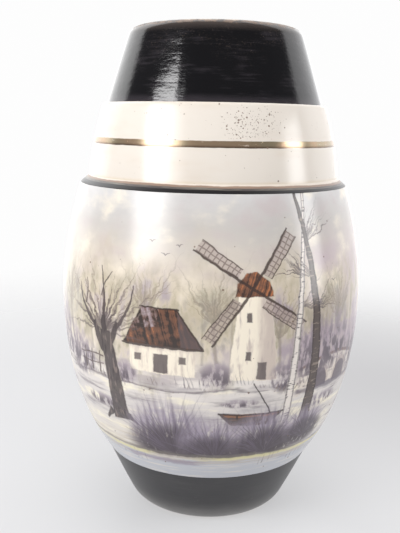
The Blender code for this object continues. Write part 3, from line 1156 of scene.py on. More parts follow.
def washes(paint):
    """The broad areas of colour, by height and then in clouds."""
    low, high = WASH[0][0], WASH[-1][0]
    clouds = paint.cloud(26.0, (1.5, 1.5, 0.7), detail=3.0)
    drift = (paint.h + (clouds - 0.5) * 16.0 - low) / (high - low)
    stops = [((height - low) / (high - low), colour) for height, colour in WASH]
    paint.colour = paint.node("ShaderNodeValToRGB", {"stops": stops}, {0: drift})
    if not paint.reaches(*EVERYWHERE, 88.0, 173.0):
        return
    sky = paint.step(paint.h, 92.0, 120.0)
    mauve = paint.cloud(17.0, (1.2, 1.2, 0.8), detail=4.0, shift=4.0)
    paint.lay(tone(190, 176, 176), paint.step(mauve, 0.50, 0.74) * sky, 0.6)
    paint.lay(tone(234, 224, 206), paint.step(mauve, 0.52, 0.22) * sky, 0.9)
    grey = paint.cloud(12.0, (1.7, 1.7, 0.8), detail=4.0, shift=8.0)
    top = paint.step(paint.h, 138.0, 160.0)
    paint.lay(tone(182, 179, 177), paint.step(grey, 0.46, 0.76) * top, 0.5)
    right = paint.between(paint.s, 44.0, 112.0, 10.0) * paint.between(paint.h, 88.0, 150.0, 14.0)
    paint.lay(tone(184, 167, 176), right * paint.step(mauve, 0.26, 0.60), 0.75)


print(len(WASH), "levels of wash")

# %% [markdown]
# ## Trees in the mist
# Behind everything stand trees painted wet in wet, so that their edges run: dabs of olive, ochre and violet
# for the wood, a few pale and dark trunks, and single trees with a soft crown, a stem and fine crooked
# twigs. They fade upwards into the sky. The wood is noise, because nobody drew its trees one by one, and the
# single trees come from a short list of places.

# %% Trees in the mist
CROWN_SIZE, CROWN_RISE = (14.0, 13.0), 5.0
CROWN_OLIVE, CROWN_VIOLET = tone(152, 148, 128), tone(160, 149, 156)
MIST_TREES = (
    (-78.0, 114.0, 30.0, 21.0),
    (-28.0, 118.0, 28.0, 22.0),
    (2.0, 114.0, 34.0, 23.0),
    (31.0, 108.0, 30.0, 24.0),
    (66.0, 112.0, 32.0, 25.0),
    (FAR_SIDE - 70.0, 112.0, 32.0, 26.0),
    (FAR_SIDE + 4.0, 114.0, 34.0, 27.0),
    (FAR_SIDE + 40.0, 110.0, 28.0, 28.0),
)


def misty_trees(paint):
    """Dabs of foliage, then rows of trunks, and single trees with crown, stem and twigs."""
    if not paint.reaches(*EVERYWHERE, 92.0, 168.0):
        return
    clumps = paint.cloud(21.0, (1.0, 1.0, 1.3), detail=3.0, shift=14.0)
    dabs = paint.cloud(5.5, (1.0, 1.0, 1.9), detail=4.0, shift=2.0)
    crown = paint.h + (clumps - 0.5) * 64.0 + (dabs - 0.5) * 24.0
    rise = paint.between(crown, 98.0, 142.0, 14.0)
    paint.lay(tone(184, 172, 148), rise * paint.step(dabs, 0.30, 0.62), 0.7)
    paint.lay(tone(148, 142, 126), rise * paint.step(dabs, 0.46, 0.66) * paint.step(clumps, 0.36, 0.58), 0.7)
    undergrowth = paint.between(crown, 94.0, 124.0, 10.0)
    paint.lay(tone(158, 144, 156), undergrowth * paint.step(dabs, 0.54, 0.32), 0.65)
    fading = paint.step(paint.h, 150.0, 112.0)
    pale = paint.row(96.0, 54.0, 17.0, 2.2, 3.0, lean=-0.02, soft=0.9)
    paint.lay(tone(232, 222, 206), pale * fading, 0.6)
    dark = paint.row(97.0, 48.0, 14.5, 1.3, 1.0, lean=0.04, sway=0.3, soft=0.6)
    paint.lay(tone(128, 118, 110), dark * fading, 0.5)
    for across, up, reach, seed in MIST_TREES:
        if not paint.reaches(across - reach, across + reach, up - 16.0, up + reach):
            continue
        aside = (paint.s - across) / CROWN_SIZE[0]
        above = (paint.h - up - CROWN_RISE) / CROWN_SIZE[1]
        off = aside**2.0 + above**2.0
        crown = paint.step(off + (dabs - 0.5) * 3.0, 1.3, 0.2) * paint.step(dabs, 0.60, 0.36)
        paint.lay(CROWN_OLIVE if seed % 2.0 else CROWN_VIOLET, crown, 0.6)
        stem = ((across + 1.0, up - 16.0), (across, up + 0.4 * reach), (1.8, 0.7), 0.8)
        paint.lay(tone(132, 122, 112), paint.strokes([stem], soft=0.6), 0.6)
        branches = paint.twigs((across, up), reach, 9, 84.0, 1.7, seed, soft=0.45)
        paint.lay(tone(128, 118, 106), branches, 0.6)
        fine = paint.twigs((across, up + 6.0), 0.7 * reach, 13, 120.0, 1.2, seed + 0.5)
        paint.lay(tone(142, 130, 118), fine, 0.5)


print("trees from 92 to 168 mm")

# %% [markdown]
# ## Bank and water
# The buildings stand on a low bank with a dark waterline. In front of it the stream lies flat and pale,
# painted in long level strokes of cream, grey and violet, down to the near bank. Noise drawn out level looks
# like such strokes, and costs one node where strokes drawn one by one would cost hundreds.

# %% Bank and water
def bank_and_water(paint):
    """Ground, level strokes on the water, and the near bank."""
    if not paint.reaches(*EVERYWHERE, 32.0, 99.0):
        return
    level = paint.cloud(3.2, (7.0, 7.0, 0.5), detail=4.0, shift=5.0)
    broad = paint.cloud(10.0, (3.2, 3.2, 0.6), detail=4.0, shift=3.0)
    ground = paint.between(paint.h, 84.0, 97.0, 3.0)
    paint.lay(tone(166, 156, 158), ground * paint.step(broad, 0.46, 0.64), 0.65)
    water = paint.between(paint.h, 46.0, 86.0, 2.0)
    paint.lay(tone(170, 164, 166), water * paint.step(broad, 0.48, 0.66), 0.75)
    paint.lay(tone(238, 230, 208), water * paint.step(broad, 0.47, 0.34), 0.85)
    near_bank = paint.between(paint.h + (broad - 0.5) * 26.0 + abs(paint.s + 20.0) * 0.12, 50.0, 58.0, 3.0)
    paint.lay(tone(196, 182, 160), near_bank * paint.step(level, 0.36, 0.60), 0.60)
    ripples = water * paint.step(level, 0.58, 0.68) * paint.step(broad, 0.42, 0.58)
    paint.lay(tone(124, 116, 120), ripples, 0.65)
    waterline = paint.between(paint.h + (broad - 0.5) * 14.0, 83.4, 84.8, 0.8)
    paint.lay(tone(112, 104, 108), waterline * paint.step(level, 0.34, 0.52), 0.75)
    for height, amount in ((78.0, 0.55), (68.0, 0.65), (59.0, 0.6)):
        ragged = paint.h + (level - 0.5) * 8.0 + (broad - 0.5) * 12.0
        line = paint.between(ragged, height, height + 0.9, 0.7) * paint.step(broad, 0.44, 0.56)
        paint.lay(tone(118, 108, 112), line, amount)


print("water from 46 to 86 mm")

# %% [markdown]
# ## Barn
# The barn has a hipped roof. Its rust and dark brown are put on in slanting strokes that follow the slope,
# with a touch of frost at the left, over a pale plastered wall with a dark doorway. Its forms have few
# corners, so each is a filled shape from its corner points, and the strokes are masks within that shape.

# %% Barn
BARN_LEFT, BARN_RIGHT, BARN_GROUND, BARN_EAVES, BARN_RIDGE = -39.0, -3.0, 92.0, 105.0, 122.0
RUST, RUST_BRIGHT, ROOF_DARK = tone(118, 84, 68), tone(184, 118, 80), tone(62, 53, 50)
WALL_LIGHT, WALL_SHADE, DOOR_DARK = tone(236, 226, 208), tone(196, 182, 172), tone(84, 74, 76)


def opening(left, right, low, high):
    """The corners of an upright opening."""
    return [(left, low), (right, low), (right, high), (left, high)]


def slanted(paint, slope, size, shift):
    """Noise drawn out along a roof slope, slope being its run for each mm of height."""
    stripes = paint.stripes(paint.s - paint.h * slope, size, shift)
    return stripes * 0.5 + paint.cloud(4.0, detail=4.0, shift=shift) * 0.5


def barn(paint):
    """Walls, openings, then the roof with its strokes and its dark edges."""
    left, right, low, eaves, ridge = BARN_LEFT, BARN_RIGHT, BARN_GROUND, BARN_EAVES, BARN_RIDGE
    if not paint.reaches(left, right, low, ridge):
        return
    wall = paint.shape([(left + 3, low), (right - 3, low - 1), (right - 3, eaves + 1), (left + 3, eaves + 1)])
    paint.lay(WALL_LIGHT, wall)
    streaks = paint.cloud(2.2, (1.0, 1.0, 5.0), detail=3.0, shift=7.0)
    paint.lay(WALL_SHADE, wall * paint.step(streaks, 0.42, 0.66), 0.7)
    paint.lay(WALL_SHADE, wall * paint.step(paint.h, eaves - 3.0, eaves - 0.5), 0.8)
    paint.lay(DOOR_DARK, paint.shape(opening(-24.5, -18.0, low, 101.0)), 0.9)
    for middle in (-32.0, -11.5):
        paint.lay(DOOR_DARK, paint.shape(opening(middle - 1.6, middle + 1.6, 97.0, 100.6)), 0.85)
    slopes = [(left, eaves), (right, eaves - 0.6), (right - 11.0, ridge), (left + 9.0, ridge + 0.5)]
    roof = paint.shape(slopes)
    strokes = slanted(paint, -0.25, 2.2, 0.0)
    paint.lay(ROOF_DARK, roof)
    paint.lay(RUST, roof * paint.step(strokes, 0.44, 0.54), 0.85)
    paint.lay(RUST_BRIGHT, roof * paint.step(strokes, 0.56, 0.66), 0.8)
    paint.lay(ROOF_DARK, roof * paint.step(paint.h, 110.0, eaves - 1.0), 0.65)
    hip = paint.shape([(right - 9.0, eaves), (right, eaves - 0.6), (right - 11.0, ridge)])
    paint.lay(tone(96, 84, 84), hip, 0.75)
    frost = [(4.0, eaves + 7.0), (16.0, eaves + 9.0), (17.0, ridge), (9.0, ridge + 0.5)]
    frost = paint.shape([(left + aside, up) for aside, up in frost])
    paint.lay(tone(176, 168, 176), frost * paint.step(strokes, 0.46, 0.62), 0.7)
    edges = [
        ((left - 0.8, eaves - 0.4), (right + 0.8, eaves - 1.0), (0.9, 1.1)),
        ((left + 8.0, ridge + 0.6), (right - 10.0, ridge + 0.1), (0.6, 0.9)),
        ((right - 11.0, ridge), (right + 0.4, eaves - 0.6), (0.6, 1.0)),
    ]
    paint.lay(tone(58, 48, 46), paint.strokes(edges), 0.9)


print("barn roof", BARN_RIGHT - BARN_LEFT, "mm wide")

# %% [markdown]
# ## Windmill
# Right of the barn stands a tower mill with a thatched cap. Its four sails are long dark strokes with a
# paler lattice on one side, and they carry the darkest lines of the picture up into the sky. All four are
# one function with another turn, and the bars of the lattice are a sine along each sail and across it.

# %% Windmill
MILL_MIDDLE, MILL_GROUND, MILL_TOP, MILL_CAP = 19.0, 90.0, 129.0, 139.5
SAIL_HUB = (18.0, 132.0)
SAIL_START, SAIL_LENGTH, SAIL_TURN, SAIL_WIDTH = 8.0, 30.0, 33.0, 6.0
LATTICE_PITCH = 2.6


def sail_shapes(turn):
    """The corners of one sail's lattice, and the two ends of its arm and of its rim."""
    along = (math.sin(math.radians(turn)), math.cos(math.radians(turn)))
    across = (along[1], -along[0])

    def at(far, aside):
        return tuple(hub + a * far + b * aside for hub, a, b in zip(SAIL_HUB, along, across))

    inner, outer = at(SAIL_START, 0.8 * SAIL_WIDTH), at(SAIL_LENGTH, SAIL_WIDTH)
    lattice = [at(SAIL_START, 0.0), at(SAIL_LENGTH, 0.0), outer, inner]
    return lattice, (at(-1.0, 0.0), at(SAIL_LENGTH + 1.0, 0.0)), (inner, outer)


def windmill(paint):
    """Tower, cap and sails."""
    middle, low, top = MILL_MIDDLE, MILL_GROUND, MILL_TOP
    if not paint.reaches(middle - SAIL_LENGTH, middle + SAIL_LENGTH, low, SAIL_HUB[1] + SAIL_LENGTH):
        return
    walls = [(middle - 11.0, low), (middle + 11.5, low - 1.0), (middle + 7.0, top), (middle - 7.0, top)]
    tower = paint.shape(walls)
    streaks = paint.cloud(2.4, (1.0, 1.0, 5.0), detail=3.0, shift=12.0)
    paint.lay(WALL_LIGHT, tower)
    paint.lay(WALL_SHADE, tower * paint.step(paint.s + streaks * 7.0, middle + 3.0, middle + 9.0), 0.95)
    paint.lay(tone(176, 160, 156), tower * paint.step(streaks, 0.55, 0.72), 0.7)
    for sill in (99.0, 117.0):
        head = sill + 4.2
        pane = [(middle - 3.6, sill), (middle - 0.8, sill), (middle - 1.0, head), (middle - 3.4, head)]
        paint.lay(DOOR_DARK, paint.shape(pane), 0.9)
    door = [(1.8, 0.0), (6.4, -0.4), (6.2, 8.0), (2.0, 8.4)]
    paint.lay(DOOR_DARK, paint.shape([(middle + aside, low + up) for aside, up in door]), 0.85)
    eaves = [(middle - 8.4, top - 0.6), (middle + 8.4, top - 0.6), (middle + 6.6, top + 6.0)]
    crown = [(middle + 1.0, MILL_CAP), (middle - 3.5, MILL_CAP - 0.6), (middle - 7.4, top + 5.0)]
    thatch = paint.shape(eaves + crown)
    strokes = slanted(paint, 0.35, 1.3, 30.0)
    paint.lay(RUST, thatch)
    paint.lay(RUST_BRIGHT, thatch * paint.step(strokes, 0.52, 0.62), 0.8)
    paint.lay(ROOF_DARK, thatch * paint.step(strokes, 0.50, 0.40), 0.85)
    lattices, arms = None, []
    for quarter in range(4):
        lattice, arm, rim = sail_shapes(SAIL_TURN + 90.0 * quarter)
        mask = paint.shape(lattice, soft=0.3)
        lattices = mask if lattices is None else lattices.math("MAXIMUM", lattices, mask)
        arms += [(*arm, (1.4, 0.8)), (*rim, (0.5, 0.4))]
    paint.lay(tone(166, 150, 144), lattices, 0.55)
    turned = math.radians(SAIL_TURN)
    along, across = (math.sin(turned), math.cos(turned)), (math.cos(turned), -math.sin(turned))
    waves = []
    for axis in (along, across):
        start = axis[0] * SAIL_HUB[0] + axis[1] * SAIL_HUB[1]
        run = paint.dot(tuple(LATTICE_PITCH * value for value in (*axis, -start)))
        waves.append(run.math("SINE", run))
    bars = waves[0].math("MAXIMUM", *waves)
    paint.lay(tone(104, 90, 86), lattices * paint.step(bars, 0.55, 0.95), 0.65)
    paint.lay(tone(70, 58, 54), paint.strokes(arms), 0.9)


print("windmill sails", 2 * SAIL_LENGTH, "mm across")

# %% [markdown]
# ## Bridge and hills
# To the right a low stone bridge crosses the stream in front of lilac hills. Its arches are dark shapes left
# in a pale wall, with a brown cap of moss along the top. The curves are sums too: a square of the distance
# from the middle bends the wall, and an oval makes each arch.

# %% Bridge and hills
BRIDGE_LEFT, BRIDGE_RIGHT, BRIDGE_TOP, BRIDGE_FOOT = 42.0, 92.0, 96.0, 82.0
BRIDGE_ARCHES = (56.0, 74.0)


def bridge_and_hills(paint):
    """Hill lines, the bridge wall, its arches and its cap."""
    if not paint.reaches(32.0, 112.0, 78.0, 120.0):
        return
    rolling = paint.cloud(22.0, (1.0, 1.0, 0.3), detail=2.0, shift=21.0)
    crest = paint.h + rolling * 18.0
    right = paint.between(paint.s, 34.0, 110.0, 5.0)
    far_hills = paint.between(crest, 106.0, 119.0, 1.5) * paint.step(rolling, 0.2, 0.5)
    paint.lay(tone(168, 152, 166), right * far_hills, 0.55)
    paint.lay(tone(140, 124, 138), right * paint.between(crest, 99.0, 106.0, 2.0), 0.55)
    arc = paint.h + (paint.s - 65.0) * (paint.s - 65.0) * 0.009
    span = paint.between(paint.s, BRIDGE_LEFT, BRIDGE_RIGHT, 1.5)
    wall = span * paint.between(arc, BRIDGE_FOOT, BRIDGE_TOP, 0.4)
    stones = paint.cloud(2.4, (1.5, 1.5, 0.8), detail=3.0, shift=17.0)
    paint.lay(tone(214, 204, 194), wall, 0.95)
    paint.lay(tone(158, 146, 146), wall * paint.step(stones, 0.50, 0.66), 0.75)
    for middle in BRIDGE_ARCHES:
        across, up = (paint.s - middle) / 6.2, (paint.h - BRIDGE_FOOT) / 8.6
        round_arch = paint.step(across * across + up * up, 1.12, 0.88) * paint.step(paint.h, 80.0, 80.8)
        ring = paint.step(across * across + up * up, 1.60, 1.40) * wall
        paint.lay(tone(176, 160, 152), ring, 0.6)
        paint.lay(tone(88, 80, 92), round_arch, 0.85)
    cap = span * paint.between(arc, BRIDGE_TOP - 0.6, BRIDGE_TOP + 1.0, 0.4)
    paint.lay(tone(108, 82, 68), cap, 0.85)
    paint.lay(tone(104, 96, 106), span * paint.between(paint.h, 79.0, 81.4, 0.8), 0.7)


print("bridge with", len(BRIDGE_ARCHES), "arches")

# %% [markdown]
# ## Bushes, fence, grass and birds
# Bushes of short violet dabs stand along the bank, and smaller ones on low islands in the water. Small dark
# touches hold the picture together: fence rails, tufts of grass where bank meets water, and a few birds.
# Each touch was one flick of a fine brush, so each is one tapered stroke, and only its ends are chosen.

# %% Bushes, fence, grass and birds
BUSHES = (
    (-92.0, 98.0, 17.0, 24.0),
    (-70.0, 93.0, 14.0, 12.0),
    (-40.0, 90.0, 7.0, 6.0),
    (3.0, 92.0, 8.0, 8.0),
    (35.0, 90.0, 8.0, 9.0),
    (50.0, 101.0, 14.0, 18.0),
    (66.0, 103.0, 13.0, 16.0),
    (92.0, 94.0, 16.0, 18.0),
    (112.0, 88.0, 10.0, 10.0),
    (FAR_SIDE - 60.0, 93.0, 16.0, 13.0),
    (FAR_SIDE + 12.0, 94.0, 18.0, 14.0),
    (FAR_SIDE + 66.0, 91.0, 14.0, 11.0),
)
ISLANDS = (
    (62.0, 73.0, 13.0, 4.0),
    (-58.0, 71.0, 12.0, 3.5),
    (14.0, 78.0, 9.0, 2.5),
    (FAR_SIDE - 6.0, 72.0, 18.0, 4.0),
)
FENCE_POSTS = (-66.0, -60.5, -55.0)
BIRDS = ((-20.0, 146.0, 2.2), (-14.0, 150.0, 1.6), (-26.5, 151.5, 1.5), (62.0, 132.0, 1.8))


def small_touches(paint):
    """Bushes, grass, fence and birds."""
    for across, up, wide, tall in BUSHES + ISLANDS:
        if paint.reaches(across - wide, across + wide, up - 4.0, up + tall):
            bush(paint, (across, up), (wide, tall))
    if paint.reaches(*EVERYWHERE, 83.0, 95.0):
        grass_on_bank(paint)
    if paint.reaches(-71.0, -51.0, 85.0, 98.0):
        fence = [((post, 86.0), (post + 0.6, 97.0), (1.1, 0.7)) for post in FENCE_POSTS]
        fence.append(((-70.0, 93.5), (-52.0, 94.8), (0.6, 0.8), 0.4))
        fence.append(((-69.0, 90.0), (-52.0, 91.0), (0.7, 0.5), -0.4))
        paint.lay(tone(92, 80, 78), paint.strokes(fence), 0.85)
    for across, up, size in BIRDS:
        if paint.reaches(across - size, across + size, up, up + 1.0):
            wings = [
                ((across - size, up + 0.7), (across, up), (0.2, 0.5), 0.4),
                ((across, up), (across + size, up + 0.8), (0.5, 0.2), 0.4),
            ]
            paint.lay(tone(104, 96, 100), paint.strokes(wings, soft=0.2), 0.8)


def soft_oval(paint, middle, radii):
    """Soft oval, strongest in its middle."""
    across, up = (paint.s - middle[0]) / radii[0], (paint.h - middle[1]) / radii[1]
    return paint.step(across * across + up * up, 1.3, 0.2)


def bush(paint, middle, radii):
    """A bush of short upright dabs, dark at its foot and lilac above."""
    dabs = paint.cloud(3.0, (1.0, 1.0, 2.2), detail=5.0, shift=37.0)
    body = soft_oval(paint, middle, radii)
    paint.lay(tone(150, 138, 148), body * paint.step(dabs, 0.32, 0.54), 0.8)
    low = paint.step(paint.h, middle[1] + 0.9 * radii[1], middle[1] - 0.4 * radii[1])
    paint.lay(tone(94, 86, 92), body * paint.step(dabs, 0.44, 0.58) * low, 0.9)


def grass_on_bank(paint):
    """Tufts where bank meets water."""
    grass = paint.row(84.5, 9.0, 2.1, 0.9, 9.0, lean=0.25, sway=1.6)
    near = paint.step(paint.cloud(15.0, (1.0, 1.0, 0.4), detail=3.0, shift=31.0), 0.48, 0.62)
    paint.lay(tone(98, 88, 96), grass * near, 0.9)
    paint.lay(tone(120, 104, 92), paint.row(82.5, 7.0, 2.7, 0.8, 12.0, lean=-0.3, sway=1.5) * near, 0.8)


print(len(BUSHES) + len(ISLANDS), "bushes,", len(FENCE_POSTS), "fence posts and", len(BIRDS), "birds")

# %% [markdown]
# ## Willow, birch and alder
# A pollard willow stands at the left: a thick dark trunk cut at head height, with boughs and whips that
# spring from its crown. At the right a slender birch, pale with dark marks, crosses a dark alder, and both
# reach to the ledge. The stems are bowed strokes placed one by one, because the eye follows them, and the
# twigs are fans with random lengths, because it doesn't follow those.

# %% Willow, birch and alder
BARK, BARK_LIGHT = tone(78, 70, 70), tone(132, 118, 112)
BIRCH = (tone(226, 218, 210), tone(84, 76, 80), tone(92, 84, 88))
ALDER = (tone(84, 74, 70), tone(136, 122, 112), tone(60, 52, 54))


def willow(paint):
    """Whips, boughs and trunk."""
    if not paint.reaches(-95.0, -5.0, 60.0, 165.0):
        return
    paint.lay(tone(122, 110, 104), paint.twigs((-49.5, 108.0), 40.0, 13, 140.0, 1.9, 1.0, lean=-4.0), 0.85)
    whips = paint.twigs((-50.5, 107.0), 32.0, 17, 170.0, 1.5, 2.0, lean=2.0, droop=0.15)
    paint.lay(tone(92, 82, 82), whips, 0.9)
    boughs = [
        ((-56.0, 110.0), (-68.0, 128.0), (2.2, 0.6), 2.0),
        ((-50.5, 112.0), (-53.0, 138.0), (2.0, 0.5), -1.5),
        ((-43.5, 110.0), (-34.0, 131.0), (2.0, 0.5), -2.0),
        ((-51.8, 124.0), (-46.0, 136.0), (0.9, 0.4), 1.0),
        ((-62.5, 119.0), (-63.0, 131.0), (0.9, 0.4), -1.0),
    ]
    paint.lay(tone(84, 74, 74), paint.strokes(boughs), 0.9)
    trunk = [
        ((-46.0, 63.0), (-50.0, 108.0), (10.5, 6.5), -1.6),
        ((-50.0, 98.0), (-56.5, 112.0), (4.5, 2.4), 0.8),
        ((-49.5, 99.0), (-42.5, 113.0), (4.6, 2.2), -0.8),
        ((-50.0, 102.0), (-50.5, 115.0), (5.0, 2.2)),
        ((-51.0, 67.0), (-57.0, 61.0), (4.0, 1.0)),
        ((-43.0, 67.0), (-36.0, 62.0), (4.4, 0.8)),
    ]
    mask = paint.strokes(trunk, soft=0.4)
    grain = paint.cloud(1.5, (1.0, 1.0, 6.0), detail=3.0, shift=19.0)
    paint.lay(BARK, mask, 0.95)
    paint.lay(BARK_LIGHT, mask * paint.step(grain, 0.54, 0.66), 0.75)
    paint.lay(tone(52, 46, 48), mask * paint.step(grain, 0.44, 0.34), 0.6)


def slender_tree(paint, foot, top, wide, bend, seed, bark=BIRCH):
    """Twigs, then a slender trunk with marks across it. The bark is its colour, marks and edge."""
    for share, lean, side in ((0.52, 62.0, 1.0), (0.66, -58.0, 2.0), (0.80, 40.0, 3.0)):
        across = foot[0] + (top[0] - foot[0]) * share - 4.0 * bend * share * (1.0 - share)
        base = (across, foot[1] + (top[1] - foot[1]) * share)
        if paint.reaches(across - 24.0, across + 24.0, base[1], base[1] + 24.0):
            twigs = paint.twigs(base, 20.0, 5, 60.0, 1.3, seed + side, lean=lean)
            paint.lay(tone(104, 94, 96), twigs, 0.85)
    if not paint.reaches(min(foot[0], top[0]) - 5.0, max(foot[0], top[0]) + 5.0, foot[1], top[1]):
        return
    inside = paint.stroke(foot, top, wide, bend)
    mask = paint.step(inside, -0.3, 0.3)
    marks = paint.cloud(1.6, (3.0, 3.0, 0.7), detail=3.0, shift=23.0 + seed)
    paint.lay(bark[0], mask, 0.95)
    paint.lay(bark[2], mask * paint.step(inside, 1.1, 0.3), 0.75)
    paint.lay(bark[1], mask * paint.step(marks, 0.56, 0.64), 0.85)


def birch_and_alder(paint):
    """A birch and a dark alder that lean together."""
    slender_tree(paint, (39.0, 62.0), (47.0, 176.0), (4.6, 1.8), 2.5, 4.0)
    slender_tree(paint, (51.0, 62.0), (41.0, 174.0), (7.0, 1.6), -4.0, 5.0, ALDER)


print("one willow, one birch and one alder")

# %% [markdown]
# ## Reeds, a punt and the water line
# Masses of violet reeds stand in the near water: lilac dabs at the back, upright violet ones over them, and
# at the root a dark heart with bristles that fan out. A flat-bottomed punt lies behind them with its
# reflection. A yellow-green line, thick in places, ends the picture close above the foot, over level
# strokes of tan, violet and blue-grey. Single blades alone would look like grass, so each clump is built up
# as the brush did it: a broad soft mass, then rows of dabs, then fans of fine bristles on top.

# %% Reeds, a punt and the water line
REED_DARK, REED_VIOLET, REED_LILAC = tone(72, 64, 69), tone(108, 98, 114), tone(160, 150, 164)
REED_CLUMPS = (
    (-19.0, 47.0, 44.0, 1.0),
    (3.0, 46.0, 34.0, 2.0),
    (30.0, 48.0, 36.0, 3.0),
    (55.0, 53.0, 26.0, 4.0),
)


def punt(paint):
    """Hull, inside and the shadow on the water."""
    if not paint.reaches(3.0, 38.0, 61.0, 89.0):
        return
    reflected = paint.shape([(12.0, 62.5), (29.0, 62.0), (33.0, 66.5), (8.0, 67.0)], soft=1.2)
    paint.lay(tone(118, 110, 120), reflected, 0.65)
    hull = paint.shape([(11.0, 66.0), (30.0, 65.4), (36.5, 71.6), (5.0, 72.2)])
    paint.lay(tone(74, 62, 58), hull, 0.95)
    inside = paint.shape([(9.0, 70.6), (32.0, 70.0), (35.2, 71.8), (6.2, 72.4)], soft=0.3)
    paint.lay(tone(150, 104, 76), inside, 0.85)
    grain = paint.cloud(1.2, (6.0, 6.0, 0.6), detail=2.0, shift=27.0)
    paint.lay(tone(120, 92, 78), hull * paint.step(grain, 0.54, 0.66), 0.6)
    lines = [
        ((4.4, 72.6), (37.0, 72.0), (0.9, 0.9), -0.8),
        ((13.5, 69.6), (13.0, 72.2), (0.8, 0.8)),
        ((25.5, 69.2), (26.0, 72.0), (0.8, 0.8)),
        ((31.0, 70.0), (20.0, 88.0), (0.8, 0.5)),
    ]
    paint.lay(tone(58, 50, 48), paint.strokes(lines), 0.9)


def reeds(paint):
    """Clumps of dabs and blades: lilac behind, violet over it, then a dark heart with bristles."""
    for across, up, reach, seed in REED_CLUMPS:
        if not paint.reaches(across - reach, across + reach, up - 5.0, up + reach):
            continue
        ragged = paint.cloud(2.0, (1.0, 1.0, 4.0), detail=4.0, shift=33.0)
        mass = soft_oval(paint, (across, up + 0.26 * reach), (0.56 * reach, 0.46 * reach))
        paint.lay(REED_LILAC, mass * paint.step(ragged, 0.26, 0.54), 0.85)
        upright = soft_oval(paint, (across - 2.0, up + 0.34 * reach), (0.42 * reach, 0.48 * reach))
        dabs = paint.row(up, 0.95 * reach, 3.4, 3.4, seed, lean=0.12, sway=0.5, soft=0.9)
        paint.lay(REED_VIOLET, upright * dabs, 0.9)
        thin = paint.row(up, 0.8 * reach, 2.7, 1.5, seed + 2.0, lean=-0.1, sway=0.8, soft=0.5)
        paint.lay(REED_LILAC, upright * thin, 0.8)
        heart = soft_oval(paint, (across + 1.0, up + 0.10 * reach), (0.62 * reach, 0.34 * reach))
        paint.lay(REED_DARK, heart * paint.step(ragged, 0.22, 0.44), 0.95)
        blades = paint.fan((across, up - 1.0), 0.8 * reach, 33, 130.0, 1.6, seed, droop=0.1, soft=0.5)
        paint.lay(REED_VIOLET, blades, 0.8)
        root, wide = (across + 1.5, up), 178.0
        bristles = paint.fan(root, 0.62 * reach, 43, wide, 1.1, seed + 6.0, droop=0.15, soft=0.4)
        paint.lay(REED_DARK, bristles, 0.9)


def water_line(paint):
    """Yellow-green line that ends the picture, with level strokes below it and drips across it."""
    if not paint.reaches(*EVERYWHERE, 32.0, 50.0):
        return
    level = paint.cloud(3.2, (7.0, 7.0, 0.5), detail=4.0, shift=5.0)
    broad = paint.cloud(10.0, (3.2, 3.2, 0.6), detail=4.0, shift=3.0)
    patches = paint.cloud(20.0, (1.6, 1.6, 0.6), detail=2.0, shift=17.0)
    line = paint.h + (broad - 0.5) * 3.6
    paint.lay(tone(184, 186, 192), paint.step(line, 46.0, 45.0))
    paint.lay(tone(118, 112, 106), paint.between(line, 47.0, 48.4, 0.7) * paint.step(level, 0.3, 0.55), 0.7)
    paint.lay(tone(184, 174, 164), paint.between(line, 42.4, 45.4, 0.8) * paint.step(level, 0.38, 0.54), 0.8)
    yellow = paint.between(line, 44.8, 46.9, 0.6) * paint.step(patches, 0.66, 0.44)
    paint.lay(tone(212, 204, 160), yellow, 0.9)
    pink = paint.between(line, 45.0, 46.8, 0.6) * paint.step(patches, 0.46, 0.62)
    paint.lay(tone(214, 205, 194), pink, 0.6)
    paint.lay(tone(142, 133, 148), paint.between(line, 41.4, 44.4, 0.8) * paint.step(broad, 0.46, 0.58), 0.75)
    paint.lay(tone(210, 204, 197), paint.step(line, 44.2, 42.0) * paint.step(level, 0.48, 0.36), 0.7)
    drips = paint.row(39.5, 11.0, 3.1, 0.9, 21.0, sway=0.5, soft=0.4)
    paint.lay(tone(98, 88, 92), drips * paint.step(paint.cloud(14.0, shift=51.0), 0.54, 0.62), 0.7)


print(len(REED_CLUMPS), "clumps of reeds")

# %% [markdown]
# ## Far side and clear glaze
# The far side carries on the mist, bank and water, with one birch and two clumps of reeds. Over everything
# lies the clear glaze: glossy, a little wavy where the brush strokes lie under it, with a few pinholes. It
# needs no skin of its own. Low roughness and a low bump on the one surface look the same, and bake better.

# %% Far side and clear glaze
FAR_CLUMPS = ((FAR_SIDE + 26.0, 50.0, 32.0, 8.0), (FAR_SIDE - 12.0, 48.0, 24.0, 9.0))


def far_side(paint):
    """The plainer picture on the side that the photograph doesn't show."""
    slender_tree(paint, (FAR_SIDE - 34.0, 66.0), (FAR_SIDE - 40.0, 168.0), (4.2, 1.6), -2.5, 7.0)
    for across, up, reach, seed in FAR_CLUMPS:
        if not paint.reaches(across - reach, across + reach, up, up + reach):
            continue
        paint.lay(REED_LILAC, soft_oval(paint, (across, up + 0.25 * reach), (0.5 * reach, 0.4 * reach)), 0.6)
        blades = paint.fan((across, up), reach, 33, 140.0, 1.6, seed, droop=0.1, soft=0.5)
        paint.lay(REED_VIOLET, blades, 0.85)
        bristles = paint.fan((across + 1.5, up), 0.65 * reach, 39, 170.0, 1.2, seed + 3.0, droop=0.15)
        paint.lay(REED_DARK, bristles, 0.85)


def clear_glaze(paint):
    """Gloss over the picture."""
    pits = pinholes(paint, 1.6, 0.0)
    paint.lay(PINHOLE, pits, 0.8)
    paint.set("Base Color", paint.colour)
    waves = paint.cloud(12.0, (1.3, 1.3, 1.0), detail=2.0, shift=41.0)
    brushed = paint.cloud(2.4, (3.0, 3.0, 0.8), detail=2.0, shift=43.0)
    paint.set("Roughness", 0.15 + waves * 0.10 + brushed * 0.04)
    paint.bump(waves * 1.0 + brushed * 0.25, 0.06, 0.6)


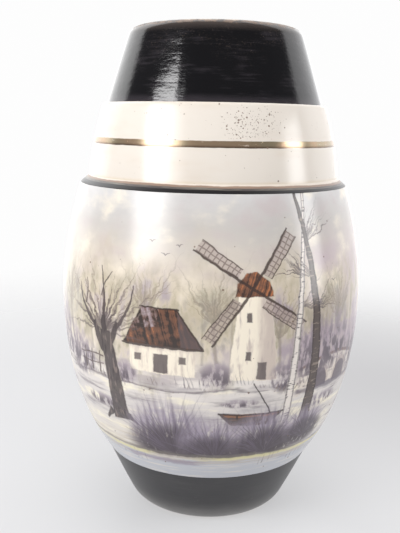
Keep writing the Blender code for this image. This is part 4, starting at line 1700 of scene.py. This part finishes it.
PICTURE = (
    washes,
    misty_trees,
    bank_and_water,
    bridge_and_hills,
    barn,
    windmill,
    small_touches,
    willow,
    birch_and_alder,
    punt,
    reeds,
    far_side,
    water_line,
    clear_glaze,
)
counts = []
for name, edges in sheets.items():
    sheet = Painting(name, edges)
    for brushwork in PICTURE:
        brushwork(sheet)
    counts.append(len(sheet.tree.nodes))
print("nodes on each sheet", counts)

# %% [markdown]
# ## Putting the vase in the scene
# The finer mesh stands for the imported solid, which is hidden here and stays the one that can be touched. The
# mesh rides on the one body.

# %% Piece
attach(vase, "root")
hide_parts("vase")
print("piece", vase.name, "stands for the solid")

# %% [markdown]
# ## Table
# The vase stands on white. The table glows a little, so that it stays as pale as in the photograph, and
# fades out far from the vase. Its glow is dimmed into a painted shadow behind the vase at the right, and
# raised into a painted pool of light close in front of it.

# %% Table
FLOOR_RADIUS = 0.9
FLOOR_FADE = (0.20, 0.70)
FLOOR_SIDES = 96
FLOOR_SHADE = (170.0, 260.0, 330.0)
FLOOR_LIT = (22.0, -78.0, 75.0)
FLOOR_COLOUR = (0.21, 0.21, 0.215, 1.0)
FLOOR_GLOW = (0.45, 0.45, 0.455, 1.0)
FLOOR_PAINTED_SHADE = (0.29, 0.285, 0.29, 1.0)
FLOOR_PAINTED_LIGHT = (0.545, 0.545, 0.55, 1.0)


def round_spot(finish, spot, full):
    """Soft round mask on the table. The spot is its middle in x and y and its radius, in millimetres."""
    across, back = (finish.x - spot[0]) / spot[2], (finish.y - spot[1]) / spot[2]
    return finish.step((across * across + back * back) ** 0.5, 1.0, full)


def make_floor():
    """A pale round table that fades out far off, with a painted shadow and a painted pool of light."""
    mesh = bpy.data.meshes.new("floor")
    turns = [math.tau * k / FLOOR_SIDES for k in range(FLOOR_SIDES)]
    rim = [(FLOOR_RADIUS * math.cos(turn), FLOOR_RADIUS * math.sin(turn), 0.0) for turn in turns]
    mesh.from_pydata(rim, [], [tuple(range(FLOOR_SIDES))])
    floor = bpy.data.objects.new("floor", mesh)
    bpy.context.scene.collection.objects.link(floor)
    materials["floor"] = bpy.data.materials.new("floor")
    finish = Finish("floor", 0.6, ior=1.3)
    finish.set("Base Color", FLOOR_COLOUR)
    # Painted shadow behind the vase at the right, then a painted pool of light just in front of it.
    shaded = finish.mix(FLOOR_GLOW, FLOOR_PAINTED_SHADE, round_spot(finish, FLOOR_SHADE, 0.15))
    finish.set("Emission Color", finish.mix(shaded, FLOOR_PAINTED_LIGHT, round_spot(finish, FLOOR_LIT, 0.2)))
    finish.set("Emission Strength", 1.0)
    far = (finish.x * finish.x + finish.y * finish.y) ** 0.5 / MILLIMETRES
    finish.set("Alpha", finish.step(far, FLOOR_FADE[1], FLOOR_FADE[0]))
    mesh.materials.append(materials["floor"])
    return floor


floor = make_floor()
print("floor radius", FLOOR_RADIUS)

# %% [markdown]
# ## Room and light
# A tall window stands at the left, with a dimmer curtain at its edge, and a smaller window at the right, in
# a room that is dim behind the camera. The dark neck mirrors all of that, so the world is bright behind the
# vase, turned a touch to the right and less bright there, and dim in front.

# %% Room and lights
ROOM_DIM = (0.13, 0.13, 0.14, 1.0)
ROOM_BRIGHT = (1.9, 1.9, 1.9, 1.0)
ROOM_RIGHT = (1.4, 1.4, 1.42, 1.0)
ROOM_TURN = 0.08
ROOM_DIM_TO, ROOM_BRIGHT_FROM = 0.20, 0.36
ROOM_RIGHT_FULL = 0.6
BACKDROP = (0.985, 0.985, 0.985, 1.0)


def make_world():
    """Bright behind the vase, dim in front, and near white where the camera sees it."""
    world = bpy.data.worlds.new("white_room")
    bpy.context.scene.world = world
    world.use_nodes = True
    tree = world.node_tree
    tree.nodes.clear()
    seen_from = node(tree, "ShaderNodeTexCoord").other("Generated")
    direction = node(tree, "ShaderNodeSeparateXYZ", {}, {0: seen_from})
    behind = direction.other("Y") + direction * ROOM_TURN
    smooth, colours = {"interpolation_type": "SMOOTHSTEP"}, {"data_type": "RGBA"}
    reach = {"Value": behind, "From Min": ROOM_DIM_TO, "From Max": ROOM_BRIGHT_FROM}
    bright = node(tree, "ShaderNodeMapRange", smooth, reach)
    reach = {"Value": direction, "From Min": 0.0, "From Max": ROOM_RIGHT_FULL}
    right = node(tree, "ShaderNodeMapRange", smooth, reach)
    wall = node(tree, "ShaderNodeMix", colours, {0: right, 6: ROOM_BRIGHT, 7: ROOM_RIGHT}, output=2)
    room = node(tree, "ShaderNodeMix", colours, {0: bright, 6: ROOM_DIM, 7: wall}, output=2)
    seen = node(tree, "ShaderNodeLightPath")
    shown = node(tree, "ShaderNodeMix", colours, {0: seen, 6: room, 7: BACKDROP}, output=2)
    light = node(tree, "ShaderNodeBackground", {}, {"Color": shown})
    node(tree, "ShaderNodeOutputWorld", {}, {"Surface": light})


def window(name, azimuth, elevation, distance, width, tall, radiance, lean=0.0, mirrored=True):
    """A soft rectangular light that faces the vase. Azimuth 0 is in front and grows to the right."""
    data = bpy.data.lights.new(name, "AREA")
    data.shape = "RECTANGLE"
    data.size, data.size_y = width, tall
    data.energy = radiance * math.pi * width * tall
    made = bpy.data.objects.new(name, data)
    made.visible_glossy = mirrored
    bpy.context.scene.collection.objects.link(made)
    turn = Matrix.Rotation(math.radians(azimuth), 4, "Z")
    raised = Matrix.Rotation(math.radians(90.0 - elevation), 4, "X")
    aim = Matrix.Translation((0.0, 0.0, 0.5 * HEIGHT))
    leaning = Matrix.Rotation(math.radians(lean), 4, "Z")
    made.matrix_world = aim @ turn @ raised @ Matrix.Translation((0.0, 0.0, distance)) @ leaning
    return made


make_world()
window("left_window", -52.0, 21.0, 0.95, 0.39, 0.54, 9.5, lean=18.0)
window("curtain", -35.5, 21.0, 0.95, 0.18, 0.52, 3.2, lean=18.0)
window("left_wall", -85.0, 20.0, 1.15, 1.3, 1.3, 0.3, mirrored=False)
window("front_fill", 20.0, 34.0, 1.15, 1.1, 1.1, 1.3, mirrored=False)
window("right_window", 78.0, 9.0, 0.95, 0.31, 0.52, 7.0)
window("ceiling", -20.0, 80.0, 1.1, 0.9, 0.9, 2.4, mirrored=False)
bpy.context.scene.view_settings.view_transform = "Standard"
